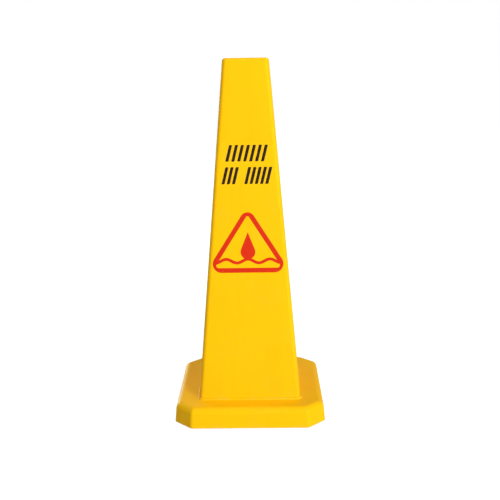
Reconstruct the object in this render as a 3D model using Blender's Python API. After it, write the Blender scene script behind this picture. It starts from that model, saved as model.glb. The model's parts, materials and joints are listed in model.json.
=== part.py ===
"""Four-sided wet floor pylon.

A hollow tapered body passes up through the square opening of a hollow eight-sided base, and its foot
flange is screwed to bosses under the base's top plate. The base stands on four rubber feet. Each face
of the body carries thin printed films: hazard bars in black, and a drip sign in red.

Metres, +Z up. The floor is at Z = 0, the pylon's axis is Z, and the front face looks towards -Y.
"""

import math

import bmesh
import bpy
from mathutils import Matrix, Vector

# Overall sizes
OVERALL_HEIGHT = 0.661
BASE_HEIGHT = 0.039  # floor to the top of the base's plate
BODY_FOOT_WIDTH = 0.190  # outside, where the body leaves the base's plate
BODY_TOP_WIDTH = 0.083  # outside, before the top edge is rounded
BASE_LEDGE = 0.0445  # how far the base reaches beyond the body's foot, all round

# Base shell
CORNER_CUT = 0.032  # leg of the 45 degree cut at each corner
BASE_WALL = 0.003
BASE_CORNER_RADIUS = 0.009  # upright edges between the sides and the corner cuts
BASE_EDGE_RADIUS = 0.011  # the long soft edge between skirt and plate
SKIRT_DRAFT = 0.002  # how far the skirt leans in, from its lower edge to its soft edge
SKIRT_LOWER_EDGE = 0.001  # chamfer round the lower edge of the skirt
FOOT_STANDOFF = 0.0015  # the rubber feet hold the skirt this far off the floor
RIM_WIDTH = 0.0020  # raised rim round the opening
RIM_HEIGHT = 0.0030
RIM_EDGE = 0.0008

# Body shell
BODY_WALL = 0.0028
BODY_EDGE_RADIUS = 0.0085  # upright edges, where two faces meet
BODY_TOP_RADIUS = 0.006  # edge between the faces and the flat top
FLANGE_REACH = 0.014  # how far the foot flange stands out from the body
FLANGE_THICKNESS = 0.003

# Screws that hold the flange under the plate
SCREWS_PER_SIDE = 2
SCREW_SPACING = 0.120  # along one side
SCREW_OUT = 0.0075  # screw axis to the body's outer face
SCREW_RADIUS = 0.0019
SCREW_GRIP = 0.0075  # length of shank in the boss
SCREW_HEAD_RADIUS = 0.0042
SCREW_HEAD_HEIGHT = 0.0026
SOCKET_RADIUS = 0.0016
SOCKET_DEPTH = 0.0014
SCREW_BOSS_WALL = 0.0026
SCREW_BOSS_LENGTH = 0.007

# Ribs between skirt and plate
RIB_THICKNESS = 0.002
RIB_DEPTH = 0.022  # below the plate
RIB_SPACING = 0.070

# Rubber feet, one inside each corner cut
FOOT_INSET = 0.0175  # foot axis to the face of the corner cut
FOOT_HEAD_RADIUS = 0.011
FOOT_HEAD_HEIGHT = 0.005
FOOT_EDGE = 0.001
FOOT_STEM_RADIUS = 0.004
FOOT_STEM_LENGTH = 0.014
FOOT_BOSS_WALL = 0.004

# Printed films. Heights are measured up the sloping face, from the top of the base's plate
FILM_THICKNESS = 0.0003
STROKE_LEAN = math.radians(14)  # of the hazard strokes, from upright
STROKE_WIDTH = 0.0056
STROKE_RAIL = 0.0012  # thin line that joins the strokes at head and foot
UPPER_BAR_WIDTH = 0.077
UPPER_BAR_HEIGHT = 0.0295
UPPER_BAR_FOOT = 0.4425
UPPER_BAR_STROKES = 7
LOWER_BAR_WIDTH = 0.092  # short bar, gap and long bar together
LOWER_BAR_HEIGHT = 0.0305
LOWER_BAR_FOOT = 0.4020
LOWER_BAR_GAP = 0.009
SHORT_BAR_WIDTH = 0.032
SHORT_BAR_STROKES = 3
LONG_BAR_STROKES = 5
SIGN_FOOT = 0.2402
SIGN_HALF_ANGLE = math.radians(31.4)  # at the apex of the triangle
SIGN_HALF_WIDTH = 0.0753  # of the triangle, before its corners are rounded
SIGN_STROKE = 0.0088
SIGN_CORNER_RADIUS = 0.0138
DROP_RADIUS = 0.0135
DROP_HEIGHT = 0.050
DROP_DIP = 0.003  # how far the drop sinks into the wave's crest
WAVE_HEIGHT = 0.0035  # crest above the wave's middle line
WAVE_LEVEL = 0.0215  # wave's middle line above the triangle's foot
WAVE_STROKE = 0.0055
WAVE_CRESTS = 3

# Fits
SEAT_GAP = 0.0003  # between two pieces that touch
BODY_CLEARANCE = 0.0004  # body in the opening of the base
SCREW_CLEARANCE = 0.0005  # screw in the flange's hole
FLANGE_CLEARANCE = 0.0015  # flange to the ribs and foot bosses round it

# Facets
CORNER_STEPS = 4
EDGE_STEPS = 5
CIRCLE_STEPS = 16
SCREW_STEPS = 12

# Places that follow from the sizes above
BODY_SLOPE = (BODY_FOOT_WIDTH - BODY_TOP_WIDTH) / 2 / (OVERALL_HEIGHT - BASE_HEIGHT)
BODY_LEAN = math.atan(BODY_SLOPE)
PLATE_UNDERSIDE = BASE_HEIGHT - BASE_WALL
PLATE_MIDDLE = BASE_HEIGHT - BASE_WALL / 2
SCREW_BOSS_RADIUS = SCREW_RADIUS + SCREW_BOSS_WALL
SCREW_BOSS_END = PLATE_UNDERSIDE - SCREW_BOSS_LENGTH
FLANGE_TOP = SCREW_BOSS_END - SEAT_GAP
FLANGE_BOTTOM = FLANGE_TOP - FLANGE_THICKNESS
SIDE_DISTANCE = BODY_FOOT_WIDTH / 2 + BASE_LEDGE  # axis to a side of the base, at its lower edge
CUT_DISTANCE = (2 * SIDE_DISTANCE - CORNER_CUT) / math.sqrt(2)  # axis to a corner cut
FOOT_DISTANCE = CUT_DISTANCE - FOOT_INSET
FOOT_BOSS_RADIUS = FOOT_STEM_RADIUS + FOOT_BOSS_WALL
FACES = ("front", "right", "back", "left")

YELLOW = (0.90, 0.52, 0.006)
BLACK = (0.012, 0.008, 0.006)
RED = (0.72, 0.035, 0.008)
RUBBER = (0.02, 0.02, 0.02)
STEEL = (0.60, 0.60, 0.58)


# ---- General tools ----


def clear_scene():
    for old in list(bpy.data.objects):
        bpy.data.objects.remove(old, do_unlink=True)


def make_material(name, colour, roughness, metallic=0.0):
    material = bpy.data.materials.new(name)
    material.use_nodes = True
    shader = material.node_tree.nodes["Principled BSDF"]
    shader.inputs["Base Color"].default_value = (*colour, 1.0)
    shader.inputs["Roughness"].default_value = roughness
    shader.inputs["Metallic"].default_value = metallic
    material.diffuse_color = (*colour, 1.0)
    return material


def add_object(name, mesh, material=None, parent=None, matrix=None):
    thing = bpy.data.objects.new(name, mesh)
    bpy.context.scene.collection.objects.link(thing)
    if material and not mesh.materials:
        mesh.materials.append(material)
    thing.parent = parent
    if matrix is not None:
        thing.matrix_local = matrix
    return thing


def add_helper(name, mesh):
    """A cutter or a piece to be joined on: wire only, and never rendered."""
    helper = add_object(name, mesh)
    helper.hide_render = True
    helper.display_type = "WIRE"
    return helper


def add_empty(name, matrix=None, parent=None):
    empty = bpy.data.objects.new(name, None)
    bpy.context.scene.collection.objects.link(empty)
    empty.parent = parent
    if matrix is not None:
        empty.matrix_local = matrix
    return empty


def combine(thing, operation, helper):
    modifier = thing.modifiers.new(helper.name, "BOOLEAN")
    modifier.operation = operation
    modifier.object = helper
    modifier.solver = "EXACT"


def finish_mesh(bm, name, smooth_angle=math.radians(35)):
    bmesh.ops.recalc_face_normals(bm, faces=bm.faces)
    mesh = bpy.data.meshes.new(name)
    bm.to_mesh(mesh)
    bm.free()
    mesh.shade_smooth()
    mesh.set_sharp_from_angle(angle=smooth_angle)
    return mesh


def polygon_outline(distances, radius, steps):
    """A convex polygon with its corners rounded by arcs. Its sides face evenly spaced directions, the
    first +X, and distances says how far each side lies from the middle."""
    turn = 2 * math.pi / len(distances)
    points = []
    for i, distance in enumerate(distances):
        start, end = i * turn, (i + 1) * turn
        near = distance - radius
        far = distances[(i + 1) % len(distances)] - radius
        centre_x = (near * math.sin(end) - far * math.sin(start)) / math.sin(turn)
        centre_y = (far * math.cos(start) - near * math.cos(end)) / math.sin(turn)
        for step in range(steps + 1):
            angle = start + turn * step / steps
            points.append((centre_x + radius * math.cos(angle), centre_y + radius * math.sin(angle)))
    return points


def add_loft(bm, rings):
    """Skins a row of (outline, height) rings that have the same number of points, and caps both ends."""
    loops = [[bm.verts.new((x, y, z)) for x, y in outline] for outline, z in rings]
    count = len(loops[0])
    for lower, upper in zip(loops, loops[1:]):
        for i in range(count):
            j = (i + 1) % count
            bm.faces.new((lower[i], lower[j], upper[j], upper[i]))
    bm.faces.new(loops[0])
    bm.faces.new(loops[-1])


def loft_mesh(name, rings):
    bm = bmesh.new()
    add_loft(bm, rings)
    return finish_mesh(bm, name)


def add_prism(bm, outline, thickness, matrix=None):
    """A flat outline in XY, drawn out along +Z."""
    matrix = matrix or Matrix.Identity(4)
    foot = [bm.verts.new(matrix @ Vector((x, y, 0))) for x, y in outline]
    head = [bm.verts.new(matrix @ Vector((x, y, thickness))) for x, y in outline]
    bm.faces.new(foot)
    bm.faces.new(head)
    for i, low in enumerate(foot):
        j = (i + 1) % len(foot)
        bm.faces.new((low, foot[j], head[j], head[i]))


def add_cylinder(bm, place, radius, bottom, top, steps=CIRCLE_STEPS):
    matrix = Matrix.Translation((place.x, place.y, (bottom + top) / 2))
    bmesh.ops.create_cone(bm, cap_ends=True, segments=steps, radius1=radius, radius2=radius,
                          depth=top - bottom, matrix=matrix)


def turned_mesh(name, profile, steps):
    """Spins a (radius, height) profile round Z. The profile starts and ends on the axis."""
    bm = bmesh.new()
    points = [bm.verts.new((radius, 0, height)) for radius, height in profile]
    edges = [bm.edges.new(pair) for pair in zip(points, points[1:])]
    bmesh.ops.spin(bm, geom=points + edges, cent=(0, 0, 0), axis=(0, 0, 1), angle=2 * math.pi,
                   steps=steps, use_merge=True)
    bmesh.ops.remove_doubles(bm, verts=bm.verts, dist=1e-6)
    return finish_mesh(bm, name)


def turn_about_z(angle):
    return Matrix.Rotation(angle, 4, "Z")


# ---- Body ----


def body_half_width(height):
    """Half the body's outside width at a height; it narrows evenly all the way up."""
    return BODY_FOOT_WIDTH / 2 - (height - BASE_HEIGHT) * BODY_SLOPE


def body_ring(height, inset=0.0):
    """The body's square outline at a height, moved in by inset, or out where inset is negative."""
    radius = BODY_EDGE_RADIUS - inset
    half = body_half_width(height) - inset / math.cos(BODY_LEAN)
    return polygon_outline([half] * 4, radius, CORNER_STEPS), height


def body_shoulder(inset):
    """Rings over the rounded top edge, from the sloping face to the flat top."""
    radius = BODY_TOP_RADIUS - inset
    middle_z = OVERALL_HEIGHT - BODY_TOP_RADIUS
    middle_x = BODY_TOP_WIDTH / 2 - BODY_TOP_RADIUS * (1 - math.sin(BODY_LEAN)) / math.cos(BODY_LEAN)
    flat_corner = BODY_EDGE_RADIUS - BODY_TOP_RADIUS  # corner radius of the flat top
    rings = []
    for step in range(EDGE_STEPS + 1):
        angle = BODY_LEAN + (math.pi / 2 - BODY_LEAN) * step / EDGE_STEPS
        reach = radius * math.cos(angle)
        outline = polygon_outline([middle_x + reach] * 4, flat_corner + reach, CORNER_STEPS)
        rings.append((outline, middle_z + radius * math.sin(angle)))
    return rings


def screw_places():
    """Screw axes, two to a side, as points in plan."""
    out = body_half_width(FLANGE_TOP) + SCREW_OUT
    first = -SCREW_SPACING * (SCREWS_PER_SIDE - 1) / 2
    return [turn_about_z(side * math.pi / 2) @ Vector((first + n * SCREW_SPACING, -out, 0))
            for side in range(len(FACES)) for n in range(SCREWS_PER_SIDE)]


def flange_half_width():
    return body_half_width(FLANGE_TOP) + FLANGE_REACH


def flange_outline():
    """The flange's corners run concentric with the body's, or rounder where a foot boss needs the room."""
    half = flange_half_width()
    corner_distance = FOOT_DISTANCE - FOOT_BOSS_RADIUS - FLANGE_CLEARANCE
    clearing_radius = (half * math.sqrt(2) - corner_distance) / (math.sqrt(2) - 1)
    radius = max(BODY_EDGE_RADIUS + FLANGE_REACH, clearing_radius)
    return polygon_outline([half] * 4, radius, CORNER_STEPS)


def make_body(material, parent):
    flange = flange_outline()
    rings = list(reversed(body_shoulder(BODY_WALL)))
    rings += [body_ring(FLANGE_BOTTOM, BODY_WALL), (flange, FLANGE_BOTTOM), (flange, FLANGE_TOP)]
    rings += [body_ring(FLANGE_TOP)]
    rings += body_shoulder(0.0)
    body = add_object("cone_shell", loft_mesh("cone_shell", rings), material, parent)

    bm = bmesh.new()
    for place in screw_places():
        add_cylinder(bm, place, SCREW_RADIUS + SCREW_CLEARANCE,
                     FLANGE_BOTTOM - FLANGE_THICKNESS, FLANGE_TOP + FLANGE_THICKNESS)
    combine(body, "DIFFERENCE", add_helper("flange_holes", finish_mesh(bm, "flange_holes")))


# ---- Base ----


def base_outline(inset):
    """The base's eight-sided outline, moved in by inset. Sides and corner cuts take turns."""
    radius = max(BASE_CORNER_RADIUS - inset, BASE_WALL / 3)
    distances = [SIDE_DISTANCE - inset, CUT_DISTANCE - inset] * 4
    return polygon_outline(distances, radius, CORNER_STEPS)


def skirt_profile(depth):
    """(inset, height) points of the base's wall at a depth below its outer surface: from the skirt's
    lower edge, up the leaning skirt and round the soft edge to the level of the plate."""
    points = [(depth, FOOT_STANDOFF)]
    edge_middle = BASE_HEIGHT - BASE_EDGE_RADIUS
    radius = BASE_EDGE_RADIUS - depth
    for step in range(EDGE_STEPS + 1):
        angle = math.pi / 2 * step / EDGE_STEPS
        inset = SKIRT_DRAFT + BASE_EDGE_RADIUS - radius * math.cos(angle)
        points.append((inset, edge_middle + radius * math.sin(angle)))
    return points


def tray_mesh():
    """The base without its opening: skirt, soft edge and plate in one wall thickness."""
    inner = skirt_profile(BASE_WALL)
    outer = skirt_profile(0.0)
    chamfered = [(SKIRT_LOWER_EDGE, FOOT_STANDOFF), (0.0, FOOT_STANDOFF + SKIRT_LOWER_EDGE)]
    rings = [(base_outline(inset), z) for inset, z in reversed(inner)]
    rings += [(base_outline(inset), z) for inset, z in chamfered + outer[1:]]
    return loft_mesh("base_shell", rings)


def rib_outline(distance, inner_end, bottom):
    """A rib seen from the side, as (outward, up) points. Its outer edge follows the middle of the wall."""
    wall = [(distance - inset, z) for inset, z in skirt_profile(BASE_WALL / 2)[1:]]
    run = (bottom - FOOT_STANDOFF) / (BASE_HEIGHT - BASE_EDGE_RADIUS - FOOT_STANDOFF)
    low = distance - BASE_WALL / 2 - SKIRT_DRAFT * run
    return [(inner_end, bottom), (low, bottom)] + wall + [(inner_end, PLATE_MIDDLE)]


def add_rib(bm, distance, inner_end, bottom, angle, along=0.0):
    """A rib that points outwards at an angle round Z, moved along its side of the base."""
    upright = Matrix.Rotation(math.pi / 2, 4, "X")  # the outline's Y becomes Z
    centred = Matrix.Translation((0, along + RIB_THICKNESS / 2, 0))
    matrix = turn_about_z(angle) @ centred @ upright
    add_prism(bm, rib_outline(distance, inner_end, bottom), RIB_THICKNESS, matrix)


def foot_places():
    """Foot axes, one inside each corner cut, as (name, point in plan)."""
    names = ("front_right", "back_right", "back_left", "front_left")
    reach = Vector((FOOT_DISTANCE, 0, 0))
    return [(name, turn_about_z((2 * i - 1) * math.pi / 4) @ reach) for i, name in enumerate(names)]


def side_ribs_mesh():
    bm = bmesh.new()
    bottom = PLATE_UNDERSIDE - RIB_DEPTH
    inner_end = flange_half_width() + FLANGE_CLEARANCE
    for side in range(4):
        for n in (-1, 0, 1):
            add_rib(bm, SIDE_DISTANCE, inner_end, bottom, side * math.pi / 2, n * RIB_SPACING)
    return finish_mesh(bm, "side_ribs")


def corner_webs_mesh():
    """Webs that tie each foot boss to its corner cut."""
    bm = bmesh.new()
    bottom = PLATE_UNDERSIDE - RIB_DEPTH
    for corner in range(4):
        add_rib(bm, CUT_DISTANCE, FOOT_DISTANCE, bottom, (2 * corner + 1) * math.pi / 4)
    return finish_mesh(bm, "corner_webs")


def bosses_mesh():
    bm = bmesh.new()
    for place in screw_places():
        add_cylinder(bm, place, SCREW_BOSS_RADIUS, SCREW_BOSS_END, PLATE_MIDDLE)
    for _, place in foot_places():
        add_cylinder(bm, place, FOOT_BOSS_RADIUS, FOOT_HEAD_HEIGHT + SEAT_GAP, PLATE_MIDDLE)
    return finish_mesh(bm, "bosses")


def rim_mesh():
    """The raised rim as a block; the opening is cut through it afterwards."""
    top = BASE_HEIGHT + RIM_HEIGHT
    out = -(BODY_CLEARANCE + RIM_WIDTH)
    rings = [body_ring(PLATE_MIDDLE, out), body_ring(top - RIM_EDGE, out), body_ring(top, out + RIM_EDGE)]
    return loft_mesh("opening_rim", rings)


def opening_mesh():
    """The body's own outline with clearance, from well under the plate to well over the rim."""
    margin = 2 * BASE_WALL
    rings = [body_ring(PLATE_UNDERSIDE - margin, -BODY_CLEARANCE),
             body_ring(BASE_HEIGHT + RIM_HEIGHT + margin, -BODY_CLEARANCE)]
    return loft_mesh("opening", rings)


def blind_holes_mesh():
    """Pilot holes for the screws and sockets for the feet's stems, open below."""
    bm = bmesh.new()
    for place in screw_places():
        add_cylinder(bm, place, SCREW_RADIUS + SEAT_GAP, SCREW_BOSS_END - SCREW_BOSS_LENGTH,
                     SCREW_BOSS_END + SCREW_GRIP + SEAT_GAP)
    for _, place in foot_places():
        add_cylinder(bm, place, FOOT_STEM_RADIUS + SEAT_GAP, 0.0,
                     FOOT_HEAD_HEIGHT + FOOT_STEM_LENGTH + SEAT_GAP)
    return finish_mesh(bm, "blind_holes")


def make_base(material, parent):
    base = add_object("base_shell", tray_mesh(), material, parent)
    for mesh in (rim_mesh(), bosses_mesh(), side_ribs_mesh(), corner_webs_mesh()):
        combine(base, "UNION", add_helper(mesh.name, mesh))
    for mesh in (opening_mesh(), blind_holes_mesh()):
        combine(base, "DIFFERENCE", add_helper(mesh.name, mesh))


# ---- Screws and feet ----


def screw_mesh():
    """A pan head screw with a hexagon socket, standing on its head: Z = 0 is the face of the head."""
    def ring(radius, height):
        return polygon_outline([radius * math.cos(math.pi / SCREW_STEPS)] * SCREW_STEPS, 1e-6, 1), height

    def socket(height):
        """A hexagon drawn with as many points as the round rings, two to a side."""
        flat = SOCKET_RADIUS * math.cos(math.pi / 6)
        points = []
        for x, y in ring(SOCKET_RADIUS, 0)[0]:
            angle = math.atan2(y, x)
            off_middle = (angle + math.pi / 6) % (math.pi / 3) - math.pi / 6
            reach = flat / math.cos(off_middle)
            points.append((reach * math.cos(angle), reach * math.sin(angle)))
        return points, height

    head_edge = SCREW_HEAD_HEIGHT / 3
    end = SCREW_HEAD_HEIGHT + SEAT_GAP + FLANGE_THICKNESS + SEAT_GAP + SCREW_GRIP - SCREW_RADIUS
    rings = [socket(SOCKET_DEPTH), socket(0.0), ring(SCREW_HEAD_RADIUS - head_edge, 0.0),
             ring(SCREW_HEAD_RADIUS, head_edge), ring(SCREW_HEAD_RADIUS, SCREW_HEAD_HEIGHT),
             ring(SCREW_RADIUS, SCREW_HEAD_HEIGHT), ring(SCREW_RADIUS, end),
             ring(SCREW_RADIUS / 2, end + SCREW_RADIUS / 2)]
    bm = bmesh.new()
    add_loft(bm, rings)
    bmesh.ops.remove_doubles(bm, verts=bm.verts, dist=1e-5)
    return finish_mesh(bm, "flange_screw")


def make_screws(material, parent):
    mesh = screw_mesh()
    bottom = FLANGE_BOTTOM - SEAT_GAP - SCREW_HEAD_HEIGHT
    for n, place in enumerate(screw_places(), 1):
        matrix = Matrix.Translation((place.x, place.y, bottom))
        add_object(f"flange_screw_{n}", mesh, material, parent, matrix)


def make_feet(material, parent):
    head, stem = FOOT_HEAD_RADIUS, FOOT_STEM_RADIUS
    tip = FOOT_HEAD_HEIGHT + FOOT_STEM_LENGTH
    profile = [(0, 0), (head - FOOT_EDGE, 0), (head, FOOT_EDGE), (head, FOOT_HEAD_HEIGHT - FOOT_EDGE),
               (head - FOOT_EDGE, FOOT_HEAD_HEIGHT), (stem, FOOT_HEAD_HEIGHT), (stem, tip - stem / 2),
               (stem / 2, tip), (0, tip)]
    mesh = turned_mesh("rubber_foot", profile, CIRCLE_STEPS)
    for name, place in foot_places():
        add_object(f"rubber_foot_{name}", mesh, material, parent, Matrix.Translation(place))


# ---- Printed films ----


def bar_mesh(name, width, height, strokes):
    """A hazard bar: leaning strokes joined by a thin rail at head and foot. It starts at X = 0, Y = 0."""
    lean = math.tan(STROKE_LEAN)
    pitch = (width - height * lean - STROKE_WIDTH) / (strokes - 1)
    levels = (0.0, STROKE_RAIL, height - STROKE_RAIL, height)
    bm = bmesh.new()
    columns = [[bm.verts.new((x + y * lean, y, 0)) for y in levels]
               for n in range(strokes) for x in (n * pitch, n * pitch + STROKE_WIDTH)]
    for n, (left, right) in enumerate(zip(columns, columns[1:])):
        for row in range(len(levels) - 1):
            if n % 2 and row == 1:
                continue  # the open space between two strokes
            bm.faces.new((left[row], right[row], right[row + 1], left[row + 1]))
    drawn = bmesh.ops.extrude_face_region(bm, geom=bm.faces[:])
    top = [v for v in drawn["geom"] if isinstance(v, bmesh.types.BMVert)]
    bmesh.ops.translate(bm, verts=top, vec=(0, 0, FILM_THICKNESS))
    return finish_mesh(bm, name)


def triangle_outline(inset):
    """The sign's upright triangle with round corners, moved in by inset. Its foot is on Y = 0."""
    slant = SIGN_HALF_ANGLE
    radius = max(SIGN_CORNER_RADIUS - inset, SIGN_CORNER_RADIUS / 4)
    offset = inset + radius  # arc centres lie this far inside all three sides
    corner_x = SIGN_HALF_WIDTH - offset * (1 + math.sin(slant)) / math.cos(slant)
    apex_y = SIGN_HALF_WIDTH / math.tan(slant) - offset / math.sin(slant)
    corners = ((corner_x, offset, -math.pi / 2, slant), (0, apex_y, slant, math.pi - slant),
               (-corner_x, offset, math.pi - slant, 3 * math.pi / 2))
    points = []
    for x, y, start, end in corners:
        for step in range(2 * CORNER_STEPS + 1):
            angle = start + (end - start) * step / (2 * CORNER_STEPS)
            points.append((x + radius * math.cos(angle), y + radius * math.sin(angle)))
    return points


def border_mesh():
    bm = bmesh.new()
    outer, inner = ([bm.verts.new((x, y, 0)) for x, y in triangle_outline(inset)]
                    for inset in (0.0, SIGN_STROKE))
    for i, corner in enumerate(outer):
        j = (i + 1) % len(outer)
        bm.faces.new((corner, outer[j], inner[j], inner[i]))
    drawn = bmesh.ops.extrude_face_region(bm, geom=bm.faces[:])
    top = [v for v in drawn["geom"] if isinstance(v, bmesh.types.BMVert)]
    bmesh.ops.translate(bm, verts=top, vec=(0, 0, FILM_THICKNESS))
    return finish_mesh(bm, "sign_border")


def wave_mesh():
    """A wavy ribbon across the triangle. It ends inside the border's slanting strokes."""
    half = SIGN_HALF_WIDTH - WAVE_LEVEL * math.tan(SIGN_HALF_ANGLE) - SIGN_STROKE / 2
    steps = WAVE_CRESTS * 10
    upper, lower = [], []
    for step in range(steps + 1):
        share = 2 * step / steps - 1
        middle = WAVE_LEVEL + WAVE_HEIGHT * math.cos(WAVE_CRESTS * math.pi * share)
        upper.append((share * half, middle + WAVE_STROKE / 2))
        lower.append((share * half, middle - WAVE_STROKE / 2))
    bm = bmesh.new()
    add_prism(bm, lower + upper[::-1], FILM_THICKNESS)
    return finish_mesh(bm, "sign_wave")


def drop_mesh():
    """A falling drop: a round belly, and two straight flanks that meet it smoothly at the tip."""
    belly_y = WAVE_LEVEL + WAVE_HEIGHT + WAVE_STROKE / 2 - DROP_DIP + DROP_RADIUS
    tip_y = belly_y - DROP_RADIUS + DROP_HEIGHT
    touch = math.asin(DROP_RADIUS / (tip_y - belly_y))  # where the flanks leave the belly
    start, end = math.pi - touch, 2 * math.pi + touch
    steps = 5 * CORNER_STEPS
    points = [(0.0, tip_y)]
    for step in range(steps + 1):
        angle = start + (end - start) * step / steps
        points.append((DROP_RADIUS * math.cos(angle), belly_y + DROP_RADIUS * math.sin(angle)))
    bm = bmesh.new()
    add_prism(bm, points, FILM_THICKNESS)
    return finish_mesh(bm, "sign_drop")


def sign_mesh():
    """Border, wave and drop joined into one film."""
    border = add_helper("sign_border", border_mesh())
    for mesh in (wave_mesh(), drop_mesh()):
        combine(border, "UNION", add_helper(mesh.name, mesh))
    bpy.context.view_layer.update()
    joined = border.evaluated_get(bpy.context.evaluated_depsgraph_get())
    return bpy.data.meshes.new_from_object(joined)


def face_matrix(side):
    """Where one face's film frame lies: X across the face, Y up its slope, Z outwards, and the origin
    on the face's middle line at the level of the base's plate, a seat gap off the surface."""
    tilt = Matrix.Rotation(math.pi / 2 - BODY_LEAN, 4, "X")
    out = Matrix.Translation((0, -BODY_FOOT_WIDTH / 2, BASE_HEIGHT))
    lift = Matrix.Translation((0, 0, SEAT_GAP))
    return turn_about_z(side * math.pi / 2) @ out @ tilt @ lift


def make_prints(black, red, parent):
    long_width = LOWER_BAR_WIDTH - SHORT_BAR_WIDTH - LOWER_BAR_GAP
    lower_left = -LOWER_BAR_WIDTH / 2
    films = [
        ("hazard_bar_upper", bar_mesh("bar_upper", UPPER_BAR_WIDTH, UPPER_BAR_HEIGHT, UPPER_BAR_STROKES),
         (-UPPER_BAR_WIDTH / 2, UPPER_BAR_FOOT, 0), black),
        ("hazard_bar_short", bar_mesh("bar_short", SHORT_BAR_WIDTH, LOWER_BAR_HEIGHT, SHORT_BAR_STROKES),
         (lower_left, LOWER_BAR_FOOT, 0), black),
        ("hazard_bar_long", bar_mesh("bar_long", long_width, LOWER_BAR_HEIGHT, LONG_BAR_STROKES),
         (lower_left + SHORT_BAR_WIDTH + LOWER_BAR_GAP, LOWER_BAR_FOOT, 0), black),
        ("drip_sign", sign_mesh(), (0, SIGN_FOOT, 0), red),
    ]
    for side, face in enumerate(FACES):
        frame = add_empty(f"face_{face}", face_matrix(side), parent)
        for name, mesh, place, material in films:
            add_object(f"{name}_{face}", mesh, material, frame, Matrix.Translation(place))


def main():
    clear_scene()
    yellow = make_material("yellow_plastic", YELLOW, 0.45)
    sign = add_empty("wet_floor_sign")
    make_body(yellow, sign)
    make_base(yellow, sign)
    make_screws(make_material("stainless_steel", STEEL, 0.3, 1.0), sign)
    make_feet(make_material("black_rubber", RUBBER, 0.8), sign)
    make_prints(make_material("black_ink", BLACK, 0.5), make_material("red_ink", RED, 0.5), sign)


main()
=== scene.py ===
# %% [markdown]
# # Four-sided wet floor pylon
#
# The real object is two hollow plastic mouldings and some small hardware. A tapered tower comes up
# through the square opening of a flat eight-sided base, screws hold its foot flange under the base's
# plate, and four rubber feet keep the base off the floor. Black and red ink is printed on each face.
#
# The measured frame already says where everything is, so this lesson only adds looks: each hard solid
# gets a finer skin with soft edges, and each skin gets a finish. All sizes are in metres.

# %% Load the measured frame
import json
import math

import bmesh
import bpy
import numpy as np
from mathutils import Matrix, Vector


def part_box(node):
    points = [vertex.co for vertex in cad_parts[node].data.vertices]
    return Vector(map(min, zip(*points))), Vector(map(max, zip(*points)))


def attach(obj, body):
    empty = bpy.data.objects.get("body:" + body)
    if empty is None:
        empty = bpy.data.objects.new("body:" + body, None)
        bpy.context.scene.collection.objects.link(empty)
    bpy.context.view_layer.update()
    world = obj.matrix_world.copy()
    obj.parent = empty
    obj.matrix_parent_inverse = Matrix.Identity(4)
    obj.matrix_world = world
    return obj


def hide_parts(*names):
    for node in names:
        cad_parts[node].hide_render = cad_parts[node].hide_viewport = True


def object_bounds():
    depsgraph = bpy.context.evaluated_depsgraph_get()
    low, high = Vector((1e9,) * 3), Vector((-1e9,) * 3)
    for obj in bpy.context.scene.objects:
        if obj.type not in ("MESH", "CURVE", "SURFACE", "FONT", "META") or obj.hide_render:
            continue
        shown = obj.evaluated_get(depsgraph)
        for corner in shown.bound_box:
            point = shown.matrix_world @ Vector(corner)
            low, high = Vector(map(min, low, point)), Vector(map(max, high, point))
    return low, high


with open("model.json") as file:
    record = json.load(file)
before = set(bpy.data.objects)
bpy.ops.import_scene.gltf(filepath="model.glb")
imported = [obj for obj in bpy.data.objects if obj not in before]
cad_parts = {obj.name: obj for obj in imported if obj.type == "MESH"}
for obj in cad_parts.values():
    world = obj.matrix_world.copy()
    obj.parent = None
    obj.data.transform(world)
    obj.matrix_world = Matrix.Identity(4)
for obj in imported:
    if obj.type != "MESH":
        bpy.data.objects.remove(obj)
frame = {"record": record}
cad_box = [list(corner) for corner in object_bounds()]
print("frame box, mm:", np.round(np.array(cad_box) * 1000, 1).tolist())

# %% [markdown]
# ## Read the sizes from the frame
#
# A skin has to lie where its solid lies. So the levels come from the mounts, which are points on real
# faces, and the widths come from the boxes round the solids. The slope of the tower comes from two
# printed films on the front face: both lie the same small distance off the face, so the step between
# their lower edges runs exactly along it.

# %% Levels and widths
mounts = {mount["name"]: mount["pos_m"] for mount in frame["record"]["mounts"]}
PLATE_TOP = mounts["stacking_rest"][2]
TOWER_TOP = mounts["head_top"][2]
BASE_HALF = cad_box[1][0]
tower_low, tower_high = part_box("cone_shell")
FLANGE_HALF = tower_high.x
FLANGE_UNDERSIDE = tower_low.z
base_low, base_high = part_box("base_shell")
SKIRT_FOOT = base_low.z
RIM_TOP = base_high.z
print(f"plate {PLATE_TOP:.4f}, rim {RIM_TOP:.4f}, flange from {FLANGE_UNDERSIDE:.4f}, top {TOWER_TOP:.4f}")

# %% Slope of the tower's faces
FILM_OFF_FACE = 0.0006  # outer side of a film, measured square to the face
bar_low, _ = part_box("hazard_bar_upper_front")
sign_low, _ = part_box("drip_sign_front")
SLOPE = (bar_low.y - sign_low.y) / (bar_low.z - sign_low.z)
LEAN = math.atan(SLOPE)
TOWER_FOOT_HALF = -sign_low.y - FILM_OFF_FACE / math.cos(LEAN) + (sign_low.z - PLATE_TOP) * SLOPE


def tower_half(height):
    """Half the tower's outside width: the half width at the plate, less slope times height above it."""
    return TOWER_FOOT_HALF - (height - PLATE_TOP) * SLOPE


print(f"lean {math.degrees(LEAN):.2f} degrees")
print(f"half width {TOWER_FOOT_HALF:.4f} to {tower_half(TOWER_TOP):.4f}")

# %% [markdown]
# ## From a grid of points to a closed skin
#
# Every new piece here is a function of two parameters worked out for a whole grid at once. The rows run
# along a profile and the columns run round the piece, so the columns always close on themselves. Four
# neighbouring points make a quad, and the quads come from index arithmetic. Where a row shrinks to one
# point it makes a pole. Merging the doubles there closes the shell, and after that the normals are
# turned outwards, in that order, because a shell with an open seam has no inside.

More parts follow.
